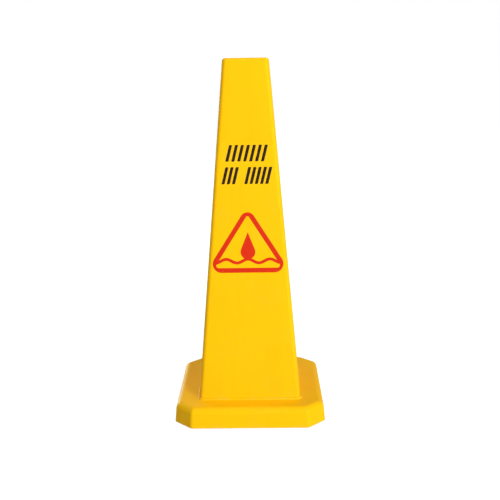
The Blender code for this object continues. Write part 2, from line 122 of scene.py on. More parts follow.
# %% Grid to mesh
MERGE_DISTANCE = 2e-6
SMOOTH_ANGLE = math.radians(38)


def grid_quads(rows, columns, wrapped, first):
    """Corner numbers of the quads between each row and the next one, and each column and the next one."""
    row = np.arange(rows if wrapped else rows - 1)[:, None]
    column = np.arange(columns)[None, :]
    next_row, next_column = (row + 1) % rows, (column + 1) % columns
    corners = (row * columns + column, row * columns + next_column,
               next_row * columns + next_column, next_row * columns + column)
    return first + np.stack(np.broadcast_arrays(*corners), axis=-1).reshape(-1, 4)


def grids_to_mesh(name, grids):
    """One mesh from (points, wrapped) grids, where points has the shape (rows, columns, 3)."""
    points, quads, first = [], [], 0
    for grid, wrapped in grids:
        points.append(grid.reshape(-1, 3))
        quads.append(grid_quads(grid.shape[0], grid.shape[1], wrapped, first))
        first += len(points[-1])
    mesh = bpy.data.meshes.new(name)
    mesh.from_pydata(np.concatenate(points).tolist(), [], np.concatenate(quads).tolist())
    bm = bmesh.new()
    bm.from_mesh(mesh)
    bmesh.ops.remove_doubles(bm, verts=bm.verts, dist=MERGE_DISTANCE)
    bmesh.ops.dissolve_degenerate(bm, edges=bm.edges, dist=MERGE_DISTANCE)
    bmesh.ops.recalc_face_normals(bm, faces=bm.faces)
    bm.to_mesh(mesh)
    bm.free()
    return mesh


def add_piece(name, mesh):
    piece = bpy.data.objects.new(name, mesh)
    bpy.context.scene.collection.objects.link(piece)
    return piece


# %% Join and cut solids
def combined(piece, operation, tool_mesh):
    """The piece with another closed solid joined to it or cut from it, as a finished mesh."""
    tool = add_piece(tool_mesh.name, tool_mesh)
    step = piece.modifiers.new("combine", "BOOLEAN")
    step.operation = operation
    step.object = tool
    bpy.context.view_layer.update()
    shown = piece.evaluated_get(bpy.context.evaluated_depsgraph_get())
    mesh = bpy.data.meshes.new_from_object(shown)
    piece.modifiers.clear()
    old, piece.data = piece.data, mesh
    bpy.data.meshes.remove(old)
    bpy.data.objects.remove(tool)
    return piece


# %% [markdown]
# ## Where hands and floors rub
#
# A moulded edge that sticks out gets rubbed smooth first. How far a place sticks out can be measured on
# the mesh: where two neighbouring normals spread apart, the surface bulges between them. The spread over
# the distance is the curvature, and its mean over a vertex's edges is stored as an attribute that a
# finish can read.

# %% Bulge of each vertex, stored as an attribute
FULL_RUB_CURVATURE = 320.0  # per metre; an edge rounded to about 3 mm or less


def finish_surface(piece):
    """Smooth shading, and the attribute "rubbing": mean over a vertex's edges of (normal step . place
    step) / distance squared, from 0 on a flat to 1 on a tight outer edge."""
    mesh = piece.data
    mesh.shade_smooth()
    mesh.set_sharp_from_angle(angle=SMOOTH_ANGLE)
    count = len(mesh.vertices)
    place, normal = np.empty(count * 3), np.empty(count * 3)
    mesh.vertices.foreach_get("co", place)
    mesh.vertex_normals.foreach_get("vector", normal)
    place, normal = place.reshape(-1, 3), normal.reshape(-1, 3)
    ends = np.empty(len(mesh.edges) * 2, dtype=np.int32)
    mesh.edges.foreach_get("vertices", ends)
    start, end = ends.reshape(-1, 2).T
    step = place[end] - place[start]
    spread = ((normal[end] - normal[start]) * step).sum(1) / np.maximum((step * step).sum(1), 1e-12)
    total, edges_met = np.zeros(count), np.zeros(count)
    for corner in (start, end):
        np.add.at(total, corner, spread)
        np.add.at(edges_met, corner, 1.0)
    rubbing = np.clip(total / np.maximum(edges_met, 1.0) / FULL_RUB_CURVATURE, 0.0, 1.0)
    layer = mesh.attributes.new("rubbing", "FLOAT", "POINT")
    layer.data.foreach_set("value", rubbing.astype(np.float32))
    return piece


def dress(piece, slot_name, *nodes):
    """The piece stands for some nodes of the frame, rides on the object's one body and has a finish slot."""
    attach(piece, "root")
    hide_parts(*nodes)
    slots_in_use.setdefault(slot_name, []).append(piece)
    triangles = sum(len(polygon.vertices) - 2 for polygon in piece.data.polygons)
    size = np.round(np.array(piece.dimensions) * 1000, 1).tolist()
    print(f"{piece.name}: {triangles} triangles, {size} mm")


def new_skin(name, mesh_name, grids, slot_name, node):
    """Makes a piece from its grids, finishes its surface and lets it stand for a node."""
    piece = add_piece(name, grids_to_mesh(mesh_name, grids))
    dress(finish_surface(piece), slot_name, node)


slots_in_use = {}

# %% [markdown]
# ## Outlines of the two mouldings
#
# Seen from above, the tower is a square with round corners and the base is a square whose corners are
# cut off at 45 degrees, again with round edges. Both outlines here have the same number of points at
# matching places, so that one grid can pass from the square opening to the eight-sided edge. A quarter
# turn holds one corner and one straight side; the other three quarters are the same points turned.

# %% Points round a square and round an eight-sided outline
ARC_STEPS = 6
CUT_STEPS = 6  # along a straight corner cut
SIDE_STEPS = 18
CORNER_POINTS = 2 * (ARC_STEPS + 1) + CUT_STEPS - 1
ROUND_POINTS = 4 * (CORNER_POINTS + SIDE_STEPS - 1)


def eased(start, end, count):
    """count + 1 values from start to end whose steps follow a cosine, small near both ends."""
    share = 0.5 - 0.5 * np.cos(np.pi * np.arange(count + 1) / count)
    return start + (end - start) * share


def blend(first, last, share):
    """first where share is 0, last where it is 1."""
    return first * (1 - share) + last * share


def four_quarters(corner):
    """Closes an outline from one corner's points, given as (rows, points, 2): straight sides are eased
    from its last point to its first point turned by 90 degrees, and the quarter is turned four times."""
    first_turned = np.stack([-corner[:, 0, 1], corner[:, 0, 0]], axis=-1)
    share = eased(0.0, 1.0, SIDE_STEPS)[1:-1][None, :, None]
    side = blend(corner[:, -1:, :], first_turned[:, None, :], share)
    quarter = np.concatenate([corner, side], axis=1)
    turned = [quarter]
    for _ in range(3):
        turned.append(np.stack([-turned[-1][..., 1], turned[-1][..., 0]], axis=-1))
    return np.concatenate(turned, axis=1)


def square_outline(half, radius):
    """Square rings with round corners: arc centre at (half - radius), arc angles from 0 to 90 degrees."""
    half, radius = np.broadcast_arrays(np.asarray(half, float), np.asarray(radius, float))
    angle = np.linspace(0.0, np.pi / 2, CORNER_POINTS)[None, :]
    middle, radius = (half - radius)[:, None], radius[:, None]
    corner = np.stack([middle + radius * np.cos(angle), middle + radius * np.sin(angle)], axis=-1)
    return four_quarters(corner)


def cut_outline(inset, radius):
    """Eight-sided rings, moved in by inset. The arc between a side and a corner cut has its centre where
    the two lines, both moved in by the radius, meet; the second arc mirrors it across the diagonal."""
    inset, radius = np.broadcast_arrays(np.asarray(inset, float), np.asarray(radius, float))
    near = (BASE_HALF - inset - radius)[:, None]
    far = (CUT_REACH - inset - radius)[:, None]
    middle_y = far * math.sqrt(2) - near
    radius = radius[:, None]
    angle = np.linspace(0.0, np.pi / 4, ARC_STEPS + 1)[None, :]
    arc = np.stack([near + radius * np.cos(angle), middle_y + radius * np.sin(angle)], axis=-1)
    mirrored = arc[:, ::-1, ::-1]
    share = eased(0.0, 1.0, CUT_STEPS)[1:-1][None, :, None]
    cut = blend(arc[:, -1:, :], mirrored[:, :1, :], share)
    return four_quarters(np.concatenate([arc, cut, mirrored], axis=1))


def at_height(outline, height):
    """Adds a height to each ring of an outline."""
    level = np.broadcast_to(np.asarray(height, float)[:, None, None], (*outline.shape[:2], 1))
    return np.concatenate([outline, level], axis=2)


CORNER_CUT = 0.032  # leg of the cut
CUT_REACH = (2 * BASE_HALF - CORNER_CUT) / math.sqrt(2)
print(f"{ROUND_POINTS} points to a ring, {CORNER_POINTS} of them on each corner")

# %% [markdown]
# ## The tower
#
# The tower is blown or moulded in one piece, closed at the top and open at the foot, with a wall of
# about 3 mm. Thin flat walls of this kind cool from outside in and draw in a little in the middle, so
# large faces are never quite flat, and the light across them shows it. The draw-in is a smooth hump
# that is zero along the four edges. The printed ink later uses the same function, so it follows the face.

# %% Draw-in of a face
FACE_DRAW_IN = 0.00045


def draw_in(across, height):
    """Depth of the hollow: (1 - (across / half width) squared) squared, times (1 - (2 share - 1) to the
    fourth), where share runs from 0 at the foot flange to 1 at the top."""
    share = np.clip((height - FLANGE_UNDERSIDE) / (TOWER_TOP - FLANGE_UNDERSIDE), 0.0, 1.0)
    over = np.clip(np.abs(across) / tower_half(height), 0.0, 1.0)
    return FACE_DRAW_IN * (1 - over ** 2) ** 2 * (1 - (2 * share - 1) ** 4)


def hollow_faces(rings, strength):
    """Moves each point of a side inwards by the draw-in at its place across the face, times strength."""
    x, y, z = rings[..., 0], rings[..., 1], rings[..., 2]
    on_x_side = np.abs(x) >= np.abs(y)
    depth = draw_in(np.where(on_x_side, y, x), z) * np.asarray(strength)[:, None]
    moved_x = np.where(on_x_side, x - np.sign(x) * depth, x)
    moved_y = np.where(on_x_side, y, y - np.sign(y) * depth)
    return np.stack([moved_x, moved_y, z], axis=-1)


print(f"faces draw in by {FACE_DRAW_IN * 1000:.2f} mm at the middle")

# %% [markdown]
# The tower's profile starts at a pole inside the closed top, runs down the inner wall, round the foot
# flange, up the outer wall and over the rounded shoulder to a pole at the top. The small mark in the
# middle of the top is where the plastic entered the mould: a shallow dish with a trimmed stub in it.

# %% Profile of the tower
TOWER_WALL = 0.0028
UPRIGHT_EDGE = 0.0085  # radius of the four upright edges
SHOULDER = 0.006  # radius between faces and top
SHOULDER_STEPS = 8
FLANGE_THICKNESS = 0.003
FLANGE_CORNER = 0.0225
FLANGE_EDGE = 0.0008
ROOT_FILLET = 0.0015
GATE_RADIUS = 0.0055
GATE_DEPTH = 0.0007
STUB_RADIUS = 0.0013
TOP_DIP = 0.00035


def shoulder_rows(inset):
    """Half width, corner radius and height over the rounded top edge, inset from the outer surface: a
    circle of the shoulder radius less the inset, from the lean of the face to straight up."""
    radius = SHOULDER - inset
    angle = np.linspace(LEAN, np.pi / 2, SHOULDER_STEPS + 1)
    middle = tower_half(TOWER_TOP) - SHOULDER * (1 - math.sin(LEAN)) / math.cos(LEAN)
    reach = radius * np.cos(angle)
    height = TOWER_TOP - SHOULDER + radius * np.sin(angle)
    return middle + reach, UPRIGHT_EDGE - SHOULDER + reach, height


def wall_rows(heights, inset):
    """Half width, corner radius and height down or up a straight wall."""
    half = tower_half(heights) - inset / math.cos(LEAN)
    return half, np.full_like(heights, UPRIGHT_EDGE - inset), heights


def stacked(*parts):
    """Joins (half width, corner radius, height) pieces of a profile end to end."""
    return [np.concatenate([np.atleast_1d(part[i]).astype(float) for part in parts]) for i in range(3)]


# %% Rows of the flange and the top
def flange_rows():
    """Round the flange from the mouth's edge to the fillet at the foot of the outer wall."""
    top = FLANGE_UNDERSIDE + FLANGE_THICKNESS
    angle = np.linspace(-np.pi / 2, np.pi / 2, 7)
    edge_half = FLANGE_HALF - FLANGE_EDGE + FLANGE_EDGE * np.cos(angle)
    on_lower_arc = (angle <= 1e-9)
    edge_height = np.where(on_lower_arc, FLANGE_UNDERSIDE + FLANGE_EDGE, top - FLANGE_EDGE) \
        + FLANGE_EDGE * np.sin(angle)
    edge = (edge_half, FLANGE_CORNER - FLANGE_EDGE + FLANGE_EDGE * np.cos(angle), edge_height)
    turn = np.linspace(0.0, np.pi / 2, 5)
    fillet_height = top + ROOT_FILLET * (1 - np.cos(turn))
    fillet_half = tower_half(fillet_height) + ROOT_FILLET * (1 - np.sin(turn))
    fillet = (fillet_half, UPRIGHT_EDGE + ROOT_FILLET * (1 - np.sin(turn)), fillet_height)
    return edge, fillet


def top_rows():
    """Across the flat top to the middle: the square's corners grow rounder until the ring is a circle,
    the plate dips a little, and the gate's dish and stub are small cosine steps."""
    half = np.concatenate([eased(shoulder_rows(0.0)[0][-1], GATE_RADIUS * 1.5, 12)[1:],
                           np.linspace(GATE_RADIUS * 1.4, 0.0, 22)])
    share = half / shoulder_rows(0.0)[0][-1]
    dip = TOP_DIP * (1 - share ** 2) ** 2
    into_dish = np.clip((GATE_RADIUS * 1.2 - half) / (GATE_RADIUS * 0.5), 0.0, 1.0)
    onto_stub = np.clip((STUB_RADIUS * 1.4 - half) / (STUB_RADIUS * 0.8), 0.0, 1.0)
    dish = GATE_DEPTH * (0.5 - 0.5 * np.cos(np.pi * into_dish))
    stub = 0.6 * GATE_DEPTH * (0.5 - 0.5 * np.cos(np.pi * onto_stub))
    radius = np.minimum(half, UPRIGHT_EDGE - SHOULDER + half * (1 - share) * 2.5)
    return half, radius, TOWER_TOP - dip - dish + stub


# %% The tower's skin
def tower_rings():
    """All rings of the tower from the pole inside to the pole on top."""
    ceiling_half = shoulder_rows(TOWER_WALL)[0][-1]
    ceiling = eased(0.0, ceiling_half, 8)[:-1]
    ceiling_rows = (ceiling, np.minimum(ceiling, 0.004) * 0.6, np.full_like(ceiling, TOWER_TOP - TOWER_WALL))
    inner_shoulder = [values[::-1] for values in shoulder_rows(TOWER_WALL)]
    down = eased(TOWER_TOP - SHOULDER, FLANGE_UNDERSIDE + 0.001, 26)[1:]
    lip = (tower_half(FLANGE_UNDERSIDE) - TOWER_WALL + np.array([0.0001, 0.0006]),
           np.full(2, UPRIGHT_EDGE - TOWER_WALL), np.array([FLANGE_UNDERSIDE + 0.0003, FLANGE_UNDERSIDE]))
    edge, fillet = flange_rows()
    shelf_half = eased(edge[0][0], lip[0][-1], 5)[1:-1][::-1]
    shelf_share = (shelf_half - lip[0][-1]) / (edge[0][0] - lip[0][-1])
    shelf_radius = blend(lip[1][-1], edge[1][0], shelf_share)
    shelf = (shelf_half, shelf_radius, np.full_like(shelf_half, FLANGE_UNDERSIDE))
    up = eased(fillet[2][-1], TOWER_TOP - SHOULDER + SHOULDER * math.sin(LEAN), 44)[1:-1]
    outside = stacked(wall_rows(up, 0.0), shoulder_rows(0.0))
    inside = stacked(ceiling_rows, inner_shoulder, wall_rows(down, TOWER_WALL), lip, shelf)
    half, radius, height = stacked(inside, edge, fillet, outside, top_rows())
    rings = at_height(square_outline(half, radius), height)
    on_wall = (np.abs(half - tower_half(height)) < 2 * TOWER_WALL) & (height < TOWER_TOP - SHOULDER)
    return hollow_faces(rings, on_wall)


tower_grid = tower_rings()
tower = add_piece("tower", grids_to_mesh("tower", [(tower_grid, False)]))
print("tower rings:", len(tower_grid), "by", ROUND_POINTS)

# %% [markdown]
# The screws pass through eight holes in the flange. A hole that cuts across a grid would spoil its
# order, so the holes are drilled afterwards with a Boolean, as a workshop would. The drill is a turned
# shape: a profile of radius and height carried round an upright axis. The same function makes the
# bosses, the screws and the rubber feet.

# %% Turned shapes
def turned(profile, place, steps):
    """Rings round an upright axis: x = place x + radius cos(angle), y = place y + radius sin(angle)."""
    profile = np.asarray(profile, float)
    angle = 2 * np.pi * np.arange(steps) / steps
    x = place[0] + profile[:, :1] * np.cos(angle)
    y = place[1] + profile[:, :1] * np.sin(angle)
    z = np.broadcast_to(profile[:, 1:2], x.shape)
    return np.stack([x, y, z], axis=-1)


def middle_of(node):
    low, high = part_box(node)
    return (low.x + high.x) / 2, (low.y + high.y) / 2


def turned_at(nodes, profile, steps):
    """A closed turned solid of one profile at the middle of each node."""
    return [(turned(profile, middle_of(node), steps), False) for node in nodes]


# %% Drill the flange
SCREWS = [f"flange_screw_{number}" for number in range(1, 9)]
SCREW_HOLE = 0.0024
DRILL_STEPS = 24


def drill(radius, low, high):
    """A plain cylinder's profile, from pole to pole."""
    return [(0, low), (radius, low), (radius, high), (0, high)]


flange_drill = drill(SCREW_HOLE, FLANGE_UNDERSIDE - 0.002, FLANGE_UNDERSIDE + 0.0045)
combined(tower, "DIFFERENCE", grids_to_mesh("flange_drills", turned_at(SCREWS, flange_drill, DRILL_STEPS)))
dress(finish_surface(tower), "yellow_plastic", "cone_shell")

# %% [markdown]
# ## The base
#
# The base is a shallow tray turned upside down: a skirt that leans in a little so that it leaves its
# mould, one long soft edge, and a flat plate with a square opening. A low raised rim guides the tower
# through the opening. In section the wall is one closed loop, so the grid closes in both directions and
# needs no caps. On the plate the rows pass from the square ring to the eight-sided ring by plain
# blending, which works because both rings have matching points.

# %% Section of the base, from the opening round to its underside
BASE_WALL = 0.003
SOFT_EDGE = 0.013
BASE_CORNER = 0.009
SKIRT_DRAFT = 0.002
SKIRT_LIP = 0.001
OPENING_GAP = 0.0004
RIM_WIDTH = 0.002
RIM_ROUND = 0.0008
RIM_INNER_ROUND = 0.0006
PLATE_DIP = 0.0003
PLATE_UNDERSIDE = PLATE_TOP - BASE_WALL
EDGE_MIDDLE = PLATE_TOP - SOFT_EDGE  # height of the soft edge's arc centre


def opening_rings(out, heights):
    """Square rings that keep a distance from the tower's faces, so that they follow its slope."""
    outline = square_outline(tower_half(heights) + out, np.full_like(heights, UPRIGHT_EDGE) + out)
    return at_height(outline, heights)


def rounded_off(middle, radius, level, start, end):
    """Distances and heights along an arc whose top touches a level, from one angle to another."""
    angle = np.linspace(start, end, 5)
    return middle + radius * np.cos(angle), level - radius + radius * np.sin(angle)


def rim_rings():
    """Up the opening, over the rim and down to the plate, with a small fillet at its foot."""
    wall = np.linspace(PLATE_UNDERSIDE + 0.0005, RIM_TOP - RIM_INNER_ROUND, 5)
    inner_out, inner_z = rounded_off(OPENING_GAP + RIM_INNER_ROUND, RIM_INNER_ROUND, RIM_TOP,
                                     np.pi, np.pi / 2)
    outer_middle = OPENING_GAP + RIM_WIDTH - RIM_ROUND
    outer_out, outer_z = rounded_off(outer_middle, RIM_ROUND, RIM_TOP, np.pi / 2, 0.0)
    turn = np.linspace(0.0, np.pi / 2, 5)
    foot_out = OPENING_GAP + RIM_WIDTH + RIM_ROUND * (1 - np.cos(turn))
    foot_z = PLATE_TOP + RIM_ROUND * (1 - np.sin(turn))
    out = np.concatenate([np.full(5, OPENING_GAP), inner_out[1:], outer_out, foot_out])
    return opening_rings(out, np.concatenate([wall, inner_z[1:], outer_z, foot_z]))


def skirt_rings(depth):
    """Rings of the wall at a depth below its outer face, from the plate over the soft edge and down the
    leaning skirt: a quarter circle of the edge radius less the depth, then a straight line."""
    angle = np.linspace(np.pi / 2, 0.0, 11)
    radius = SOFT_EDGE - depth
    arc_inset = SKIRT_DRAFT + SOFT_EDGE - radius * np.cos(angle)
    arc_z = EDGE_MIDDLE + radius * np.sin(angle)
    down = eased(EDGE_MIDDLE, SKIRT_FOOT + SKIRT_LIP, 8)[1:]
    run = (down - SKIRT_FOOT - SKIRT_LIP) / (EDGE_MIDDLE - SKIRT_FOOT - SKIRT_LIP)
    inset = np.concatenate([arc_inset, depth + SKIRT_DRAFT * run])
    return at_height(cut_outline(inset, np.maximum(BASE_CORNER - 0.4 * inset - 0.6 * depth, 0.001)),
                     np.concatenate([arc_z, down]))


def between_rings(first, last, steps, dip):
    """Blends one ring into another, lowered by dip times the sine of the share of the way."""
    share = eased(0.0, 1.0, steps)[1:-1][:, None, None]
    rings = blend(first[None], last[None], share)
    rings[..., 2] -= dip * np.sin(np.pi * share[..., 0])
    return rings


# %% The base's skin, before its ribs
def lip_rings():
    """Round the skirt's lower edge: an outer arc, a flat foot and a small inner arc."""
    angle = np.linspace(0.0, -np.pi / 2, 5)[1:]
    outer = SKIRT_LIP * (1 - np.cos(angle))
    outer_z = SKIRT_FOOT + SKIRT_LIP * (1 + np.sin(angle))
    inner_round = 0.0006
    angle = np.linspace(-np.pi / 2, -np.pi, 4)
    inner = BASE_WALL - inner_round - inner_round * np.cos(angle)
    inner_z = SKIRT_FOOT + inner_round * (1 + np.sin(angle))
    inset = np.concatenate([outer, inner])
    return at_height(cut_outline(inset, BASE_CORNER - 0.6 * inset), np.concatenate([outer_z, inner_z]))


def base_rings():
    rim, outside = rim_rings(), skirt_rings(0.0)
    inside = skirt_rings(BASE_WALL)[::-1]
    mouth = opening_rings(np.array([OPENING_GAP + 0.0005, OPENING_GAP + 0.00015]),
                          np.array([PLATE_UNDERSIDE, PLATE_UNDERSIDE + 0.00015]))
    plate = between_rings(rim[-1], outside[0], 12, PLATE_DIP)
    underside = between_rings(inside[-1], mouth[0], 8, 0.0)
    return np.concatenate([rim, plate, outside, lip_rings(), inside, underside, mouth])


base_grid = base_rings()
base = add_piece("base", grids_to_mesh("base", [(base_grid, True)]))
print("base rings:", len(base_grid), "by", ROUND_POINTS)

# %% [markdown]
# Under the plate the real moulding is stiffened: ribs tie the skirt to the plate, webs tie the foot
# bosses to the corner cuts, and round bosses take the screws. A rib is a plate with slightly broken
# edges. Its outline is carried through the thickness in four rings and shrunk to a pole at both faces.
# Ribs, bosses and shell are then joined into one solid, and the blind holes are drilled last.

# %% Ribs and webs
RIB_THICKNESS = 0.002
RIB_FOOT = PLATE_UNDERSIDE - 0.022
RIB_SPACING = 0.070
RIB_BREAK = 0.0003
FLANGE_CLEARANCE = 0.0015
FEET = [f"rubber_foot_{place}" for place in ("front_right", "back_right", "back_left", "front_left")]


def rib(reach, inner_end, direction, along):
    """A closed plate that points outwards. The outline goes out along the foot, up the middle of the
    skirt's wall, round the soft edge and back along the middle of the plate."""
    skirt = skirt_rings(BASE_WALL / 2)[::-1, 0, :]
    wall_out = skirt[:, 0] + (reach - BASE_HALF)
    kept = skirt[:, 2] > RIB_FOOT
    out = np.concatenate([np.linspace(inner_end, np.interp(RIB_FOOT, skirt[:, 2], wall_out), 5),
                          wall_out[kept], np.linspace(wall_out[-1], inner_end, 5)[1:]])
    up = np.concatenate([np.full(5, RIB_FOOT), skirt[kept, 2], np.full(4, PLATE_TOP - BASE_WALL / 2)])
    middle = np.array([(out.min() + out.max()) / 2, (up.min() + up.max()) / 2])
    outline = np.stack([out, up], axis=-1)
    shrink = 1 - RIB_BREAK / np.linalg.norm(outline - middle, axis=1)[:, None]
    half = RIB_THICKNESS / 2
    layers = [(np.zeros_like(shrink), -half), (shrink, -half), (1.0, RIB_BREAK - half),
              (1.0, half - RIB_BREAK), (shrink, half), (np.zeros_like(shrink), half)]
    rings = []
    for scale, level in layers:
        flat = middle + (outline - middle) * scale
        sideways = along + level
        x = flat[:, 0] * math.cos(direction) - sideways * math.sin(direction)
        y = flat[:, 0] * math.sin(direction) + sideways * math.cos(direction)
        rings.append(np.stack([x, y, flat[:, 1]], axis=-1))
    return np.stack(rings)


foot_out = math.hypot(*middle_of(FEET[0]))
ribs = [(rib(BASE_HALF, FLANGE_HALF + FLANGE_CLEARANCE, side * np.pi / 2, place * RIB_SPACING), False)
        for side in range(4) for place in (-1, 0, 1)]
ribs += [(rib(CUT_REACH, foot_out, (2 * corner + 1) * np.pi / 4, 0.0), False) for corner in range(4)]
combined(base, "UNION", grids_to_mesh("ribs", ribs))
print(f"{len(ribs)} ribs, feet {foot_out:.4f} out")

# %% Bosses and their blind holes
FOOT_BOSS = 0.008
FOOT_SOCKET = 0.0043
FOOT_HEAD_TOP = 0.005
SEAT_GAP = 0.0003  # between a piece and what it seats on
SCREW_BOSS = 0.0045
SCREW_PILOT = 0.0022
SCREW_PILOT_DEPTH = 0.0078
SCREW_BOSS_FOOT = FLANGE_UNDERSIDE + FLANGE_THICKNESS + SEAT_GAP
BOSS_BREAK = 0.0005
BOSS_STEPS = 32


def boss(radius, low):
    """A round boss's profile with a broken lower edge; its head ends inside the plate."""
    high = PLATE_TOP - BASE_WALL / 2
    return [(0, low), (radius - BOSS_BREAK, low), (radius, low + BOSS_BREAK), (radius, high), (0, high)]


bosses = turned_at(SCREWS, boss(SCREW_BOSS, SCREW_BOSS_FOOT), BOSS_STEPS)
bosses += turned_at(FEET, boss(FOOT_BOSS, FOOT_HEAD_TOP + SEAT_GAP), BOSS_STEPS)
holes = turned_at(SCREWS, drill(SCREW_PILOT, FLANGE_UNDERSIDE, SCREW_BOSS_FOOT + SCREW_PILOT_DEPTH),
                  DRILL_STEPS)
for foot in FEET:
    holes += turned_at([foot], drill(FOOT_SOCKET, 0.0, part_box(foot)[1].z + SEAT_GAP), DRILL_STEPS)
combined(base, "UNION", grids_to_mesh("bosses", bosses))
combined(base, "DIFFERENCE", grids_to_mesh("blind_holes", holes))
dress(finish_surface(base), "yellow_plastic", "base_shell")

# %% [markdown]
# ## Rubber feet and screws
#
# A rubber foot is a push-in bumper: a thick head with round shoulders, grooves that grip the floor, and
# a stem whose barbs hold it in its boss. Both it and the screw are turned shapes, so a profile is all
# that the foot needs. The screw adds two things to its profile that depend on the angle as well: the
# hexagon socket in its head, and a thread that climbs one pitch with every turn.

# %% Rubber feet
FOOT_STEPS = 48
FOOT_GROOVE = 0.0004
FOOT_SHOULDER = 0.0012
GROOVE_SPACING = 0.0031
BARB_SPACING = 0.0028
BARB_DEPTH = 0.0007
STEM_RADIUS = 0.0040
STEM_COLLAR = 0.0042
NOSE_LENGTH = 0.002


def foot_profile(radius, tip):
    """(radius, height) from the pole on the floor side, over grooves and shoulders, to the stem's tip."""
    out = np.linspace(0.0, radius - FOOT_SHOULDER, 37)
    tread = np.clip(FOOT_GROOVE * 1.6 * (np.cos(2 * np.pi * out / GROOVE_SPACING) - 0.35), 0.0, FOOT_GROOVE)
    low = np.linspace(-np.pi / 2, 0.0, 7)[1:]
    high = np.linspace(0.0, np.pi / 2, 7)
    shoulder_x, shoulder_z = radius - FOOT_SHOULDER, FOOT_SHOULDER
    top_middle = FOOT_HEAD_TOP - FOOT_SHOULDER
    stem_z = np.linspace(FOOT_HEAD_TOP + 0.0004, tip - NOSE_LENGTH, 40)
    barb = ((stem_z - FOOT_HEAD_TOP) / BARB_SPACING) % 1.0
    stem = STEM_RADIUS - BARB_DEPTH * barb
    nose = np.linspace(0.0, np.pi / 2, 6)[1:]
    r = [out, shoulder_x + FOOT_SHOULDER * np.cos(low), shoulder_x + FOOT_SHOULDER * np.cos(high),
         [STEM_COLLAR], stem, stem[-1] * np.cos(nose)]
    z = [tread, shoulder_z + FOOT_SHOULDER * np.sin(low), top_middle + FOOT_SHOULDER * np.sin(high),
         [FOOT_HEAD_TOP], stem_z, tip - NOSE_LENGTH + NOSE_LENGTH * np.sin(nose)]
    return np.stack([np.concatenate(r), np.concatenate(z)], axis=-1)


for foot in FEET:
    foot_low, foot_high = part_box(foot)
    rings = turned(foot_profile((foot_high.x - foot_low.x) / 2, foot_high.z), middle_of(foot), FOOT_STEPS)
    new_skin(foot.replace("rubber_foot", "floor_bumper"), foot + "_mesh", [(rings, False)],
             "black_rubber", foot)

# %% Screws
SCREW_STEPS = 36
HEAD_HEIGHT = 0.0026
SOCKET_FACE = 0.0016  # axis to a corner of the hexagon
SOCKET_DEPTH = 0.0014
SHANK = 0.0019
THREAD_PITCH = 0.0011
THREAD_DEPTH = 0.00035
PLAIN_SHANK = 0.0018  # between the head and the thread
HEAD_ROUND = 0.0009
SHANK_ROWS = 74


def screw_rings(low, high, head_radius, place):
    """Rings from the floor of the socket, over the head, up the shank to its point. Radius = profile
    radius x (1 + hexagon share x (hexagon - 1)) - thread depth x a triangle wave of height / pitch -
    angle / full turn."""
    angle = 2 * np.pi * np.arange(SCREW_STEPS) / SCREW_STEPS
    hexagon = math.cos(np.pi / 6) / np.cos((angle % (np.pi / 3)) - np.pi / 6)
    edge = np.linspace(0.0, np.pi / 2, 5)
    face = np.array([(0.0, SOCKET_DEPTH, 1), (SOCKET_FACE, SOCKET_DEPTH, 1), (SOCKET_FACE, 0.00015, 1),
                     (SOCKET_FACE * 1.1, 0.0, 1), (head_radius - 0.0011, 0.0, 0)])
    side = np.stack([head_radius - HEAD_ROUND + HEAD_ROUND * np.sin(edge),
                     HEAD_ROUND - HEAD_ROUND * np.cos(edge), 0 * edge], axis=-1)
    neck = np.array([(head_radius, HEAD_HEIGHT - 0.0002, 0), (head_radius - 0.0002, HEAD_HEIGHT, 0),
                     (SHANK, HEAD_HEIGHT, 0)])
    shank_z = np.linspace(HEAD_HEIGHT + 0.0002, high - low - SHANK, SHANK_ROWS)
    shank = np.stack([np.full(SHANK_ROWS, SHANK), shank_z, 0 * shank_z], axis=-1)
    point = np.array([(SHANK * 0.55, high - low - 0.0006, 0), (0.0, high - low, 0)])
    rows = np.concatenate([face, side, neck, shank, point])
    radius = rows[:, :1] * (1 + rows[:, 2:] * (hexagon - 1))
    wave = np.abs(2 * ((rows[:, 1:2] / THREAD_PITCH - angle / (2 * np.pi)) % 1.0) - 1)
    threaded = (rows[:, 1:2] > HEAD_HEIGHT + PLAIN_SHANK) & (rows[:, :1] >= SHANK * 0.99)
    radius = radius - THREAD_DEPTH * wave * threaded * (rows[:, 0:1] < SHANK * 1.01)
    x, y = place[0] + radius * np.cos(angle), place[1] + radius * np.sin(angle)
    return np.stack([x, y, np.broadcast_to(low + rows[:, 1:2], x.shape)], axis=-1)


for screw in SCREWS:
    screw_low, screw_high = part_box(screw)
    rings = screw_rings(screw_low.z, screw_high.z, (screw_high.x - screw_low.x) / 2, middle_of(screw))
    new_skin(screw.replace("flange_screw", "socket_screw"), screw + "_mesh", [(rings, False)],
             "stainless_steel", screw)

# %% [markdown]
# ## The print
#
# Each face carries two rows of leaning hazard strokes in black ink and a red warning triangle with a
# falling drop over a wave. The ink is screen printed: a layer of a few hundredths of a millimetre with
# slightly thinner borders. A flat decal would float over the drawn-in face, so every stroke is worked
# out in the face's own plane, as a place across and a place up the slope, and a last step lays it on
# the face with the same draw-in function that shaped the tower.

# %% Lay ink on a face
INK_LIFT = 0.00009
INK_SUNK = 0.00012  # how deep the closed shell reaches into the plastic
INK_BORDER = 0.0005
FACES = ("front", "right", "back", "left")


def on_face(across, up, lift, face):
    """Plane to space: height = plate + up cos(lean); outwards = lift less the draw-in there; then a turn
    of 90 degrees about the tower's axis for each face after the front one."""
    height = PLATE_TOP + up * math.cos(LEAN)
    off = lift - draw_in(across, height)
    x = across
    y = -TOWER_FOOT_HALF + up * math.sin(LEAN) - off * math.cos(LEAN)
    z = height + off * math.sin(LEAN)
    for _ in range(FACES.index(face)):
        x, y = -y, x
    return np.stack([x, y, z], axis=-1)


